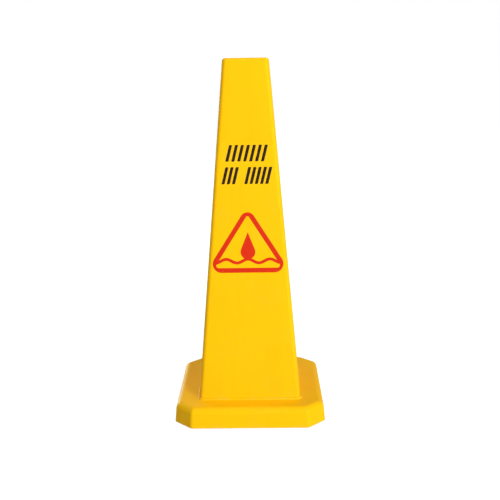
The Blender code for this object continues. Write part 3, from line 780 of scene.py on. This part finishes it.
def face_box(node):
    """A film's box on the front face, as (left, right, foot, head) in the face's plane."""
    low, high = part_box(node)
    return low.x, high.x, (low.z - PLATE_TOP) / math.cos(LEAN), (high.z - PLATE_TOP) / math.cos(LEAN)


def ink_ribbon(left, right, extra, closed, face):
    """A closed shell between two edges with matching points. Across it the lift is
    1 - (1 - distance to the nearer edge / border) squared; its underside lies inside the plastic."""
    share = eased(0.0, 1.0, 10)
    plan = blend(left[:, None, :], right[:, None, :], share[:, None])
    width = np.linalg.norm(right - left, axis=1)[:, None]
    near = np.clip(np.minimum(share, 1 - share) * width / INK_BORDER, 0.0, 1.0)
    lift = (INK_LIFT + extra) * (1 - (1 - near) ** 2)
    rings = np.concatenate([plan, plan[:, ::-1]], axis=1)
    lift = np.concatenate([lift, np.full_like(lift, -INK_SUNK)], axis=1)
    if not closed:
        rings = np.concatenate([rings[:1], rings, rings[-1:]])
        seam = np.full_like(lift[:1], -INK_SUNK / 2)
        lift = np.concatenate([seam, lift, seam])
    return on_face(rings[..., 0], rings[..., 1], lift, face), closed


# %% [markdown]
# A hazard stroke is a leaning bar with small round corners. Its two long edges are functions of the
# height, and near both ends the edges curve in by a quarter circle.

# %% Hazard strokes
STROKE_LEAN = math.radians(14)
STROKE_WIDTH = 0.0056
STROKE_CORNER = 0.0011
STROKES = {"hazard_bar_upper": 7, "hazard_bar_short": 3, "hazard_bar_long": 5}


def stroke_edges(foot_left, foot, head):
    """Left and right edges of a stroke: the lean's tangent times the height, with the half width
    narrowed by radius (1 - sin a) where the end is radius (1 - cos a) away."""
    turn = np.linspace(0.0, np.pi / 2, 6)
    end_away = STROKE_CORNER * (1 - np.cos(turn))
    end_in = STROKE_CORNER * (1 - np.sin(turn))
    middle = np.linspace(foot + STROKE_CORNER, head - STROKE_CORNER, 12)[1:-1]
    up = np.concatenate([foot + end_away, middle, head - end_away[::-1]])
    narrowed = np.concatenate([end_in, np.zeros(10), end_in[::-1]])
    left = foot_left + (up - foot) * math.tan(STROKE_LEAN)
    return (np.stack([left + narrowed, up], axis=-1),
            np.stack([left + STROKE_WIDTH - narrowed, up], axis=-1))


def hazard_bar(film, face):
    """All strokes of one bar, spaced evenly between the ends of its film."""
    left, right, foot, head = face_box(f"{film}_front")
    count = STROKES[film]
    last = right - (head - foot) * math.tan(STROKE_LEAN) - STROKE_WIDTH
    return [ink_ribbon(*stroke_edges(start, foot, head), 0.0, False, face)
            for start in np.linspace(left, last, count)]


for face in FACES:
    for film in STROKES:
        node = f"{film}_{face}"
        new_skin(film.replace("hazard_bar", "hazard_strokes") + f"_{face}", node + "_ink",
                 hazard_bar(film, face), "black_ink", node)

# %% [markdown]
# The warning triangle's border is a ribbon between two rounded triangles, one inside the other. The
# wave is a ribbon whose edges follow a cosine, and the drop is a round belly with two straight flanks
# that touch it. Where the shapes meet, their layers differ by one to three hundredths of a millimetre,
# so no two surfaces lie in the same place.

# %% Triangle, wave and drop
SIGN_HALF_ANGLE = math.radians(32.5)  # at the apex
SIGN_STROKE = 0.0088
SIGN_CORNERS = (0.0165, 0.0137, 0.0165)  # right, apex, left
INNER_CORNERS = (0.0048, 0.0030, 0.0048)
SIGN_ARC_STEPS = 14
WAVE_LEVEL = 0.0215
WAVE_HEIGHT = 0.0035
WAVE_STROKE = 0.0055
WAVE_CRESTS = 3
DROP_BELLY = 0.0135
DROP_LENGTH = 0.050
DROP_DIP = 0.003
BORDER_ABOVE = 0.00002  # the border's layer is this much thicker than the wave's
DROP_BELOW = 0.00001  # and the drop's this much thinner
sign_left, sign_right, sign_foot, _ = face_box("drip_sign_front")
BEVEL = (1 + math.sin(SIGN_HALF_ANGLE)) / math.cos(SIGN_HALF_ANGLE)
SIGN_HALF = sign_right + SIGN_CORNERS[0] * (BEVEL - 1)  # before its corners are rounded


def triangle(inset, radii):
    """Outline of a rounded triangle moved in by inset: an arc at each corner, whose centre lies inset +
    radius inside the two sides that meet there, and straight sides between the arcs."""
    right, apex, left = (inset + radius for radius in radii)
    apex_y = SIGN_HALF / math.tan(SIGN_HALF_ANGLE) - apex / math.sin(SIGN_HALF_ANGLE)
    slant = SIGN_HALF_ANGLE
    middles = np.array([(SIGN_HALF - right * BEVEL, right), (0.0, apex_y), (left * BEVEL - SIGN_HALF, left)])
    starts = np.array([-np.pi / 2, slant, np.pi - slant])
    ends = np.array([slant, np.pi - slant, 3 * np.pi / 2])
    share = np.linspace(0.0, 1.0, SIGN_ARC_STEPS + 1)[None]
    angle = blend(starts[:, None], ends[:, None], share)
    reach = np.array(radii)[:, None, None]
    arcs = middles[:, None] + reach * np.stack([np.cos(angle), np.sin(angle)], axis=-1)
    next_start = np.roll(arcs[:, :1], -1, axis=0)
    along = np.linspace(0.0, 1.0, 32)[1:-1][None, :, None]
    sides = blend(arcs[:, -1:], next_start, along)
    return np.concatenate([arcs, sides], axis=1).reshape(-1, 2) + (0.0, sign_foot)


def wave_edges():
    """Upper and lower edge: middle line + height x cos(crests pi share), half a stroke to each side."""
    half = SIGN_HALF - WAVE_LEVEL * math.tan(SIGN_HALF_ANGLE) - SIGN_STROKE / 2
    share = np.linspace(-1.0, 1.0, 91)
    middle = np.stack([share * half, WAVE_LEVEL + WAVE_HEIGHT * np.cos(WAVE_CRESTS * np.pi * share)], -1)
    direction = np.gradient(middle, axis=0)
    direction /= np.linalg.norm(direction, axis=1)[:, None]
    side = np.stack([-direction[:, 1], direction[:, 0]], axis=-1) * WAVE_STROKE / 2
    place = np.array([0.0, sign_foot])
    return middle + side + place, middle - side + place


def drop_patch(face):
    """The drop as rings shrunk towards its belly's middle, closed by a pole above and one below."""
    belly_y = WAVE_LEVEL + WAVE_HEIGHT + WAVE_STROKE / 2 - DROP_DIP + DROP_BELLY
    tip_y = belly_y - DROP_BELLY + DROP_LENGTH
    touch = math.asin(DROP_BELLY / (tip_y - belly_y))
    angle = np.linspace(np.pi - touch, 2 * np.pi + touch, 49)
    belly = DROP_BELLY * np.stack([np.cos(angle), np.sin(angle)], axis=-1)
    tip = np.array([[0.0, tip_y - belly_y]])
    share = np.linspace(0.0, 1.0, 14)[1:, None]
    outline = np.concatenate([tip, tip + (belly[:1] - tip) * share, belly[1:-1],
                              belly[-1:] + (tip - belly[-1:]) * share[:-1]])
    scale = np.array([0.0, 0.5, 1.0, 1.0, 0.985, 0.96, 0.8, 0.6, 0.4, 0.2, 0.0])
    lift = np.array([-INK_SUNK] * 3 + [0.0, 0.75 * INK_LIFT] + [INK_LIFT] * 6) - DROP_BELOW
    rings = outline[None] * scale[:, None, None] + np.array([0.0, belly_y + sign_foot])
    lift = np.broadcast_to(lift[:, None], rings.shape[:2])
    return on_face(rings[..., 0], rings[..., 1], lift, face), False


for face in FACES:
    border = ink_ribbon(triangle(0.0, SIGN_CORNERS), triangle(SIGN_STROKE, INNER_CORNERS),
                        BORDER_ABOVE, True, face)
    wave = ink_ribbon(*wave_edges(), 0.0, False, face)
    new_skin(f"drip_print_{face}", f"drip_print_{face}_ink", [border, wave, drop_patch(face)],
             "red_ink", f"drip_sign_{face}")

# %% [markdown]
# ## Finishes
#
# A finish is a small network of nodes. A few short helpers keep the networks readable: one adds a node
# and fills or links its sockets, and the others each make one kind of node. What several finishes share
# is kept in node groups, which put out only heights and masks; each material then mixes its own colours
# and keeps its own shader.

# %% Node helpers
def add_node(tree, kind, values=None, **settings):
    """A node with its settings. Each value goes into the socket of that name or number, or is linked to
    it if it is another node's socket."""
    node = tree.nodes.new(kind)
    for key, setting in settings.items():
        setattr(node, key, setting)
    for key, value in (values or {}).items():
        if isinstance(value, bpy.types.NodeSocket):
            tree.links.new(value, node.inputs[key])
        else:
            node.inputs[key].default_value = value
    return node


def soft_mask(tree, value, low, high):
    """0 below low, 1 above high, and a smooth step between; low may be above high."""
    node = add_node(tree, "ShaderNodeMapRange", {"Value": value, "From Min": low, "From Max": high},
                    interpolation_type="SMOOTHSTEP")
    return node.outputs["Result"]


def noise(tree, vector, scale, detail=2.0, roughness=0.5):
    node = add_node(tree, "ShaderNodeTexNoise",
                    {"Vector": vector, "Scale": scale, "Detail": detail, "Roughness": roughness})
    return node.outputs[0]


def maths(tree, operation, a, b):
    return add_node(tree, "ShaderNodeMath", {0: a, 1: b}, operation=operation).outputs[0]


def mixed(tree, share, first, second):
    """first where share is 0, second where it is 1."""
    return add_node(tree, "ShaderNodeMix", {0: share, 6: first, 7: second}, data_type="RGBA").outputs[2]


def stretched(tree, vector, scale, turn=(0.0, 0.0, 0.0)):
    node = add_node(tree, "ShaderNodeMapping", {"Vector": vector, "Rotation": turn, "Scale": scale})
    return node.outputs["Vector"]


def node_group(name, inputs, outputs):
    """An empty group with named sockets, as (group, its input node, its output node)."""
    group = bpy.data.node_groups.new(name, "ShaderNodeTree")
    for label, kind in inputs:
        group.interface.new_socket(label, in_out="INPUT", socket_type=kind)
    for label, kind in outputs:
        group.interface.new_socket(label, in_out="OUTPUT", socket_type=kind)
    return group, group.nodes.new("NodeGroupInput"), group.nodes.new("NodeGroupOutput")


VECTOR, NUMBER = "NodeSocketVector", "NodeSocketFloat"

# %% [markdown]
# Moulded plastic is never mirror flat. The mould's own texture leaves a grain finer than half a
# millimetre, and shrinkage adds a slow ripple a few millimetres across. Both are heights in
# millimetres, so a Bump node with a distance of one millimetre turns them into the right slopes.

# %% Grain and ripple
def build_moulded_surface():
    group, source, sink = node_group(
        "moulded_surface",
        [("Vector", VECTOR), ("Grain Scale", NUMBER), ("Grain Height", NUMBER),
         ("Ripple Scale", NUMBER), ("Ripple Height", NUMBER)],
        [("Height", NUMBER), ("Grain", NUMBER)])
    vector = source.outputs["Vector"]
    grain = noise(group, vector, source.outputs["Grain Scale"], 2.0, 0.6)
    ripple = noise(group, vector, source.outputs["Ripple Scale"], 1.0)
    height = maths(group, "ADD", maths(group, "MULTIPLY", grain, source.outputs["Grain Height"]),
                   maths(group, "MULTIPLY", ripple, source.outputs["Ripple Height"]))
    group.links.new(height, sink.inputs["Height"])
    group.links.new(grain, sink.inputs["Grain"])
    return group


# %% [markdown]
# Use leaves three kinds of mark on such a pylon. Stacking drags hairlines up and down its faces, hands
# and floors rub its edges smooth, and mopped floors leave a little dust where it is nearest to them.
# Each is a mask from 0 to 1.

# %% Hairlines, rubbed edges and dust
HAIRLINE_STRETCH = (1000.0, 1000.0, 14.0)
HAIRLINE_TURNS = ((0.0, 0.0, 0.0), (0.25, 0.9, 0.1))  # upright, and slanted
HAIRLINE_PEAK = (0.68, 0.75)  # noise below the first is no line, above the second a full one


def build_hairlines():
    """Thin lines: noise on stretched coordinates, once upright and once slanted, kept where it peaks,
    and broken up by a slower noise."""
    group, source, sink = node_group("hairlines", [("Vector", VECTOR), ("Length Scale", NUMBER)],
                                     [("Mask", NUMBER)])
    vector = source.outputs["Vector"]
    masks = []
    for turn in HAIRLINE_TURNS:
        lines = noise(group, stretched(group, vector, HAIRLINE_STRETCH, turn), 1.0, 1.0)
        masks.append(soft_mask(group, lines, *HAIRLINE_PEAK))
    patches = soft_mask(group, noise(group, vector, source.outputs["Length Scale"]), 0.5, 0.68)
    lines = maths(group, "MAXIMUM", masks[0], masks[1])
    group.links.new(maths(group, "MULTIPLY", lines, patches), sink.inputs["Mask"])
    return group


def build_rubbed_edges():
    """The bulge attribute, broken up by noise so that no edge is rubbed evenly."""
    group, source, sink = node_group(
        "rubbed_edges", [("Vector", VECTOR), ("Bulge", NUMBER), ("Patch Scale", NUMBER)],
        [("Mask", NUMBER)])
    patches = noise(group, source.outputs["Vector"], source.outputs["Patch Scale"], 4.0, 0.65)
    worn = maths(group, "MULTIPLY", source.outputs["Bulge"], soft_mask(group, patches, 0.35, 0.65))
    group.links.new(soft_mask(group, worn, 0.1, 0.8), sink.inputs["Mask"])
    return group


def build_floor_dust():
    """Dust that fades with height above the floor, in uneven patches."""
    group, source, sink = node_group(
        "floor_dust", [("Vector", VECTOR), ("Reach", NUMBER), ("Patch Scale", NUMBER)],
        [("Mask", NUMBER)])
    height = add_node(group, "ShaderNodeSeparateXYZ", {0: source.outputs["Vector"]}).outputs["Z"]
    share = maths(group, "DIVIDE", height, source.outputs["Reach"])
    low = soft_mask(group, share, 1.0, 0.0)
    patches = noise(group, source.outputs["Vector"], source.outputs["Patch Scale"], 4.0, 0.6)
    dust = maths(group, "MULTIPLY", low, soft_mask(group, patches, 0.3, 0.75))
    group.links.new(dust, sink.inputs["Mask"])
    return group


GROUPS = {"surface": build_moulded_surface(), "hairlines": build_hairlines(),
          "rubbed": build_rubbed_edges(), "dust": build_floor_dust()}
print("node groups:", [group.name for group in GROUPS.values()])


# %% A material's starting nodes
def start_material(name, roughness, metallic=0.0, specular=0.5, tint=(1.0, 1.0, 1.0)):
    """A material with its shader's constants set, as (material, tree, shader, object coordinates, bulge)."""
    material = bpy.data.materials.new(name)
    material.use_nodes = True
    tree = material.node_tree
    shader = tree.nodes["Principled BSDF"]
    shader.inputs["Roughness"].default_value = roughness
    shader.inputs["Metallic"].default_value = metallic
    shader.inputs["Specular IOR Level"].default_value = specular
    shader.inputs["Specular Tint"].default_value = (*tint, 1.0)
    vector = add_node(tree, "ShaderNodeTexCoord").outputs["Object"]
    bulge = add_node(tree, "ShaderNodeAttribute", attribute_name="rubbing").outputs["Fac"]
    return material, tree, shader, vector, bulge


def grouped(tree, key, values):
    """The outputs of a node that runs one of the groups above on these values."""
    return add_node(tree, "ShaderNodeGroup", values, node_tree=GROUPS[key]).outputs


def rubbed_mask(tree, vector, bulge, patch_scale):
    return grouped(tree, "rubbed", {"Vector": vector, "Bulge": bulge, "Patch Scale": patch_scale})["Mask"]


def hairline_mask(tree, vector):
    return grouped(tree, "hairlines", {"Vector": vector, "Length Scale": 14.0})["Mask"]


def dust_mask(tree, vector, reach, patch_scale):
    return grouped(tree, "dust", {"Vector": vector, "Reach": reach, "Patch Scale": patch_scale})["Mask"]


def moulded_height(tree, vector, grain, ripple):
    """Height in millimetres from the (scale, height) of the grain and of the ripple."""
    values = {"Vector": vector, "Grain Scale": grain[0], "Grain Height": grain[1],
              "Ripple Scale": ripple[0], "Ripple Height": ripple[1]}
    return grouped(tree, "surface", values)["Height"]


def weighed(tree, mask, weight):
    return maths(tree, "MULTIPLY", mask, weight)


def tinted(tree, colour, mask, weight, tint):
    """The colour, turned into the tint by the mask times a weight."""
    return mixed(tree, weighed(tree, mask, weight), colour, tint)


def set_bump(tree, shader, height, strength=1.0):
    """Height in millimetres to a normal."""
    bump = add_node(tree, "ShaderNodeBump", {"Height": height, "Distance": 0.001, "Strength": strength})
    tree.links.new(bump.outputs["Normal"], shader.inputs["Normal"])


# %% [markdown]
# ## Yellow plastic
#
# The shells are polypropylene, coloured through with a warm yellow. The colour wanders a little: slow
# clouds where the pigment mixed unevenly and faint upright streaks where the melt flowed up the mould.
# Rubbed edges are a shade paler and smoother, hairlines paler and rougher, dust greyer and duller.

# %% Yellow plastic
YELLOW = (0.94, 0.522, 0.0030, 1.0)
YELLOW_DEEP = (0.90, 0.480, 0.0022, 1.0)
YELLOW_RUBBED = (0.93, 0.58, 0.075, 1.0)
YELLOW_SCRATCH = (0.90, 0.64, 0.24, 1.0)
DUST = (0.42, 0.33, 0.20, 1.0)


def make_yellow_plastic():
    material, tree, shader, vector, bulge = start_material(
        "yellow_plastic", 0.50, specular=0.09, tint=(1.0, 0.86, 0.40))
    clouds = soft_mask(tree, noise(tree, vector, 9.0, 3.0), 0.35, 0.70)
    streaks = soft_mask(tree, noise(tree, stretched(tree, vector, (70.0, 70.0, 2.2)), 1.0, 3.0), 0.40, 0.75)
    rubbed = rubbed_mask(tree, vector, bulge, 60.0)
    lines = hairline_mask(tree, vector)
    dust = dust_mask(tree, vector, 0.012, 55.0)
    colour = mixed(tree, weighed(tree, maths(tree, "ADD", clouds, streaks), 0.35), YELLOW, YELLOW_DEEP)
    colour = tinted(tree, colour, rubbed, 0.55, YELLOW_RUBBED)
    colour = tinted(tree, colour, lines, 0.36, YELLOW_SCRATCH)
    colour = tinted(tree, colour, dust, 0.10, DUST)
    tree.links.new(colour, shader.inputs["Base Color"])
    rough = maths(tree, "ADD", 0.50, weighed(tree, clouds, 0.06))
    rough = maths(tree, "SUBTRACT", rough, weighed(tree, rubbed, 0.10))
    rough = maths(tree, "ADD", rough, weighed(tree, dust, 0.25))
    tree.links.new(rough, shader.inputs["Roughness"])
    height = moulded_height(tree, vector, (2600.0, 0.008), (110.0, 0.100))
    set_bump(tree, shader, maths(tree, "SUBTRACT", height, weighed(tree, lines, 0.004)))
    return material


# %% [markdown]
# ## Ink
#
# Screen ink lies on the plastic as a thin satin film. It lets a little of the yellow through where the
# screen's mesh left it thin, it has pinholes, and it takes hairlines like the plastic under it. One
# function makes both inks from their full colour and their thin colour.

# %% Black and red ink
def make_ink(name, full, thin, hole):
    material, tree, shader, vector, _ = start_material(name, 0.50, specular=0.10)
    cover = soft_mask(tree, noise(tree, vector, 420.0, 3.0), 0.40, 0.75)
    pinholes = soft_mask(tree, noise(tree, vector, 900.0, 1.0), 0.735, 0.76)
    missing = maths(tree, "MAXIMUM", weighed(tree, pinholes, 0.8),
                    weighed(tree, hairline_mask(tree, vector), 0.25))
    colour = tinted(tree, full, cover, 0.5, thin)
    tree.links.new(mixed(tree, missing, colour, hole), shader.inputs["Base Color"])
    tree.links.new(maths(tree, "ADD", 0.40, weighed(tree, cover, 0.12)), shader.inputs["Roughness"])
    set_bump(tree, shader, moulded_height(tree, vector, (1900.0, 0.004), (130.0, 0.030)))
    return material


# %% [markdown]
# ## Rubber and steel
#
# Rubber is dark, matt and slightly stippled, and it collects dust first. The screws are stainless
# steel, turned on a lathe, so their fine lines run round the head; a noise stretched along the height
# and squeezed across it gives that, and their edges are brighter.

# %% Rubber and steel
RUBBER = (0.016, 0.016, 0.016, 1.0)
RUBBER_SPECK = (0.034, 0.033, 0.031, 1.0)
RUBBER_DUST = (0.16, 0.145, 0.12, 1.0)
RUBBER_RUBBED = (0.060, 0.058, 0.055, 1.0)
STEEL_DARK = (0.50, 0.49, 0.47, 1.0)
STEEL_LIGHT = (0.66, 0.65, 0.63, 1.0)
STEEL_EDGE = (0.78, 0.77, 0.75, 1.0)


def make_rubber():
    material, tree, shader, vector, bulge = start_material("black_rubber", 0.80, specular=0.30)
    speckle = soft_mask(tree, noise(tree, vector, 1500.0, 2.0), 0.40, 0.75)
    rubbed = rubbed_mask(tree, vector, bulge, 300.0)
    colour = mixed(tree, speckle, RUBBER, RUBBER_SPECK)
    colour = tinted(tree, colour, dust_mask(tree, vector, 0.008, 260.0), 0.45, RUBBER_DUST)
    colour = tinted(tree, colour, rubbed, 0.30, RUBBER_RUBBED)
    tree.links.new(colour, shader.inputs["Base Color"])
    tree.links.new(maths(tree, "SUBTRACT", 0.86, weighed(tree, rubbed, 0.18)), shader.inputs["Roughness"])
    set_bump(tree, shader, moulded_height(tree, vector, (1400.0, 0.030), (300.0, 0.020)))
    return material


def make_steel():
    material, tree, shader, vector, bulge = start_material("stainless_steel", 0.30, metallic=1.0)
    turning = noise(tree, stretched(tree, vector, (300.0, 300.0, 9000.0)), 1.0, 2.0)
    colour = mixed(tree, soft_mask(tree, turning, 0.3, 0.7), STEEL_DARK, STEEL_LIGHT)
    colour = tinted(tree, colour, rubbed_mask(tree, vector, bulge, 500.0), 0.5, STEEL_EDGE)
    tree.links.new(colour, shader.inputs["Base Color"])
    tree.links.new(maths(tree, "ADD", 0.24, weighed(tree, turning, 0.16)), shader.inputs["Roughness"])
    set_bump(tree, shader, moulded_height(tree, vector, (4000.0, 0.002), (500.0, 0.004)))
    return material


# %% Give every piece its finish
FINISHES = {
    "yellow_plastic": make_yellow_plastic(),
    "black_ink": make_ink("black_ink", (0.012, 0.006, 0.005, 1.0), (0.026, 0.014, 0.006, 1.0),
                          (0.10, 0.06, 0.006, 1.0)),
    "red_ink": make_ink("red_ink", (0.64, 0.022, 0.004, 1.0), (0.68, 0.040, 0.004, 1.0),
                        (0.88, 0.25, 0.008, 1.0)),
    "black_rubber": make_rubber(),
    "stainless_steel": make_steel(),
}
for slot_name, dressed in slots_in_use.items():
    for piece in dressed:
        piece.data.materials.clear()
        piece.data.materials.append(FINISHES[slot_name])
    print(f"{slot_name}: {len(dressed)} pieces")

# %% [markdown]
# ## Floor, light and camera
#
# The object stands on a plain white floor under soft studio light. The floor looks white to the camera
# because most of what the camera sees of it is plain emission; the rest is a diffuse share that still
# takes the object's shadow. For all other rays it is an ordinary pale floor.
#
# Three lamps and the world light the pylon: a large key from the front right sets the shading, a fill
# from the back left keeps the far sides from going dark, a fill from above lights the plate, and the
# world adds a little from all round. A lamp's level is the brightness it gives a white card that faces
# it, so levels that add up to about one show a colour as it is written.

# %% Floor
FLOOR_HALF = 6.0


def direct_view(tree):
    """1 for rays from the camera, straight or by way of a mirror or glass, and 0 for all others."""
    path = add_node(tree, "ShaderNodeLightPath").outputs
    return maths(tree, "MAXIMUM", path["Is Camera Ray"],
                 maths(tree, "MAXIMUM", path["Is Glossy Ray"], path["Is Transmission Ray"]))


def make_floor():
    share = np.linspace(-FLOOR_HALF, FLOOR_HALF, 3)
    x, y = np.meshgrid(share, share)
    points = np.stack([x, y, np.zeros_like(x)], axis=-1).reshape(-1, 3)
    corner = np.array([0, 1, 3, 4])[:, None]
    quads = np.concatenate([corner, corner + 1, corner + 4, corner + 3], axis=1)
    mesh = bpy.data.meshes.new("floor")
    mesh.from_pydata(points.tolist(), [], quads.tolist())
    material = bpy.data.materials.new("floor")
    material.use_nodes = True
    tree = material.node_tree
    tree.nodes.clear()
    shown = direct_view(tree)
    plain = add_node(tree, "ShaderNodeBsdfDiffuse", {"Color": (0.66, 0.66, 0.66, 1.0)})
    place = add_node(tree, "ShaderNodeTexCoord").outputs["Object"]
    away = add_node(tree, "ShaderNodeVectorMath", {0: place}, operation="LENGTH").outputs["Value"]
    far = soft_mask(tree, away, 0.35, 1.6)
    strength = maths(tree, "ADD", 0.84, maths(tree, "MULTIPLY", far, 0.16))
    glow = add_node(tree, "ShaderNodeEmission", {"Color": (1.0, 1.0, 1.0, 1.0), "Strength": strength})
    shaded = add_node(tree, "ShaderNodeBsdfDiffuse", {"Color": (0.45, 0.45, 0.45, 1.0)})
    both = add_node(tree, "ShaderNodeAddShader", {0: glow.outputs[0], 1: shaded.outputs[0]})
    mix = add_node(tree, "ShaderNodeMixShader", {0: shown, 1: plain.outputs[0], 2: both.outputs[0]})
    add_node(tree, "ShaderNodeOutputMaterial", {"Surface": mix.outputs[0]})
    mesh.materials.append(material)
    return add_piece("floor", mesh)


make_floor()

# %% Lamps and world
AIM = (0.0, 0.0, 0.20)


def softbox(name, azimuth, elevation, distance, size, level):
    """A square lamp aimed at the pylon. Azimuth 0 is in front and 90 on the right, in degrees. Its power
    is level x (pi x distance) squared, the power at which a white card facing it shows that level."""
    turn, rise = math.radians(azimuth), math.radians(elevation)
    away = np.array([math.sin(turn) * math.cos(rise), -math.cos(turn) * math.cos(rise), math.sin(rise)])
    lamp = bpy.data.lights.new(name, "AREA")
    lamp.shape = "SQUARE"
    lamp.size = size
    lamp.energy = level * (math.pi * distance) ** 2
    holder = bpy.data.objects.new(name, lamp)
    bpy.context.scene.collection.objects.link(holder)
    place = Matrix.Translation(np.array(AIM) + away * distance)
    holder.matrix_world = place @ Matrix.Rotation(turn, 4, "Z") @ Matrix.Rotation(math.pi / 2 - rise, 4, "X")


softbox("key", azimuth=32, elevation=10, distance=3.6, size=1.4, level=0.925)
softbox("back_fill", azimuth=-142, elevation=8, distance=3.2, size=1.2, level=0.58)
softbox("top_fill", azimuth=14, elevation=77, distance=2.6, size=1.6, level=0.46)

world = bpy.data.worlds.new("studio")
bpy.context.scene.world = world
world.use_nodes = True
tree = world.node_tree
tree.nodes.clear()
shown = direct_view(tree)
fill = add_node(tree, "ShaderNodeBackground", {"Color": (1.0, 0.99, 0.97, 1.0), "Strength": 0.10})
white = add_node(tree, "ShaderNodeBackground", {"Color": (1.0, 1.0, 1.0, 1.0), "Strength": 1.0})
mix = add_node(tree, "ShaderNodeMixShader", {0: shown, 1: fill.outputs[0], 2: white.outputs[0]})
add_node(tree, "ShaderNodeOutputWorld", {"Surface": mix.outputs[0]})
bpy.context.scene.view_settings.view_transform = "Standard"

# %% Camera
camera_data = bpy.data.cameras.new("camera")
camera_data.lens = 59.11
camera_data.sensor_width = 36.0
camera = bpy.data.objects.new("camera", camera_data)
bpy.context.scene.collection.objects.link(camera)
camera.matrix_world = (Matrix.Translation((0.0258, -1.5264, 0.6580))
                       @ Matrix.Rotation(math.radians(0.865), 4, "Z")
                       @ Matrix.Rotation(math.radians(76.930), 4, "X")
                       @ Matrix.Rotation(math.radians(-0.850), 4, "Z"))
bpy.context.scene.camera = camera
print("camera at", np.round(camera.matrix_world.translation, 3).tolist())
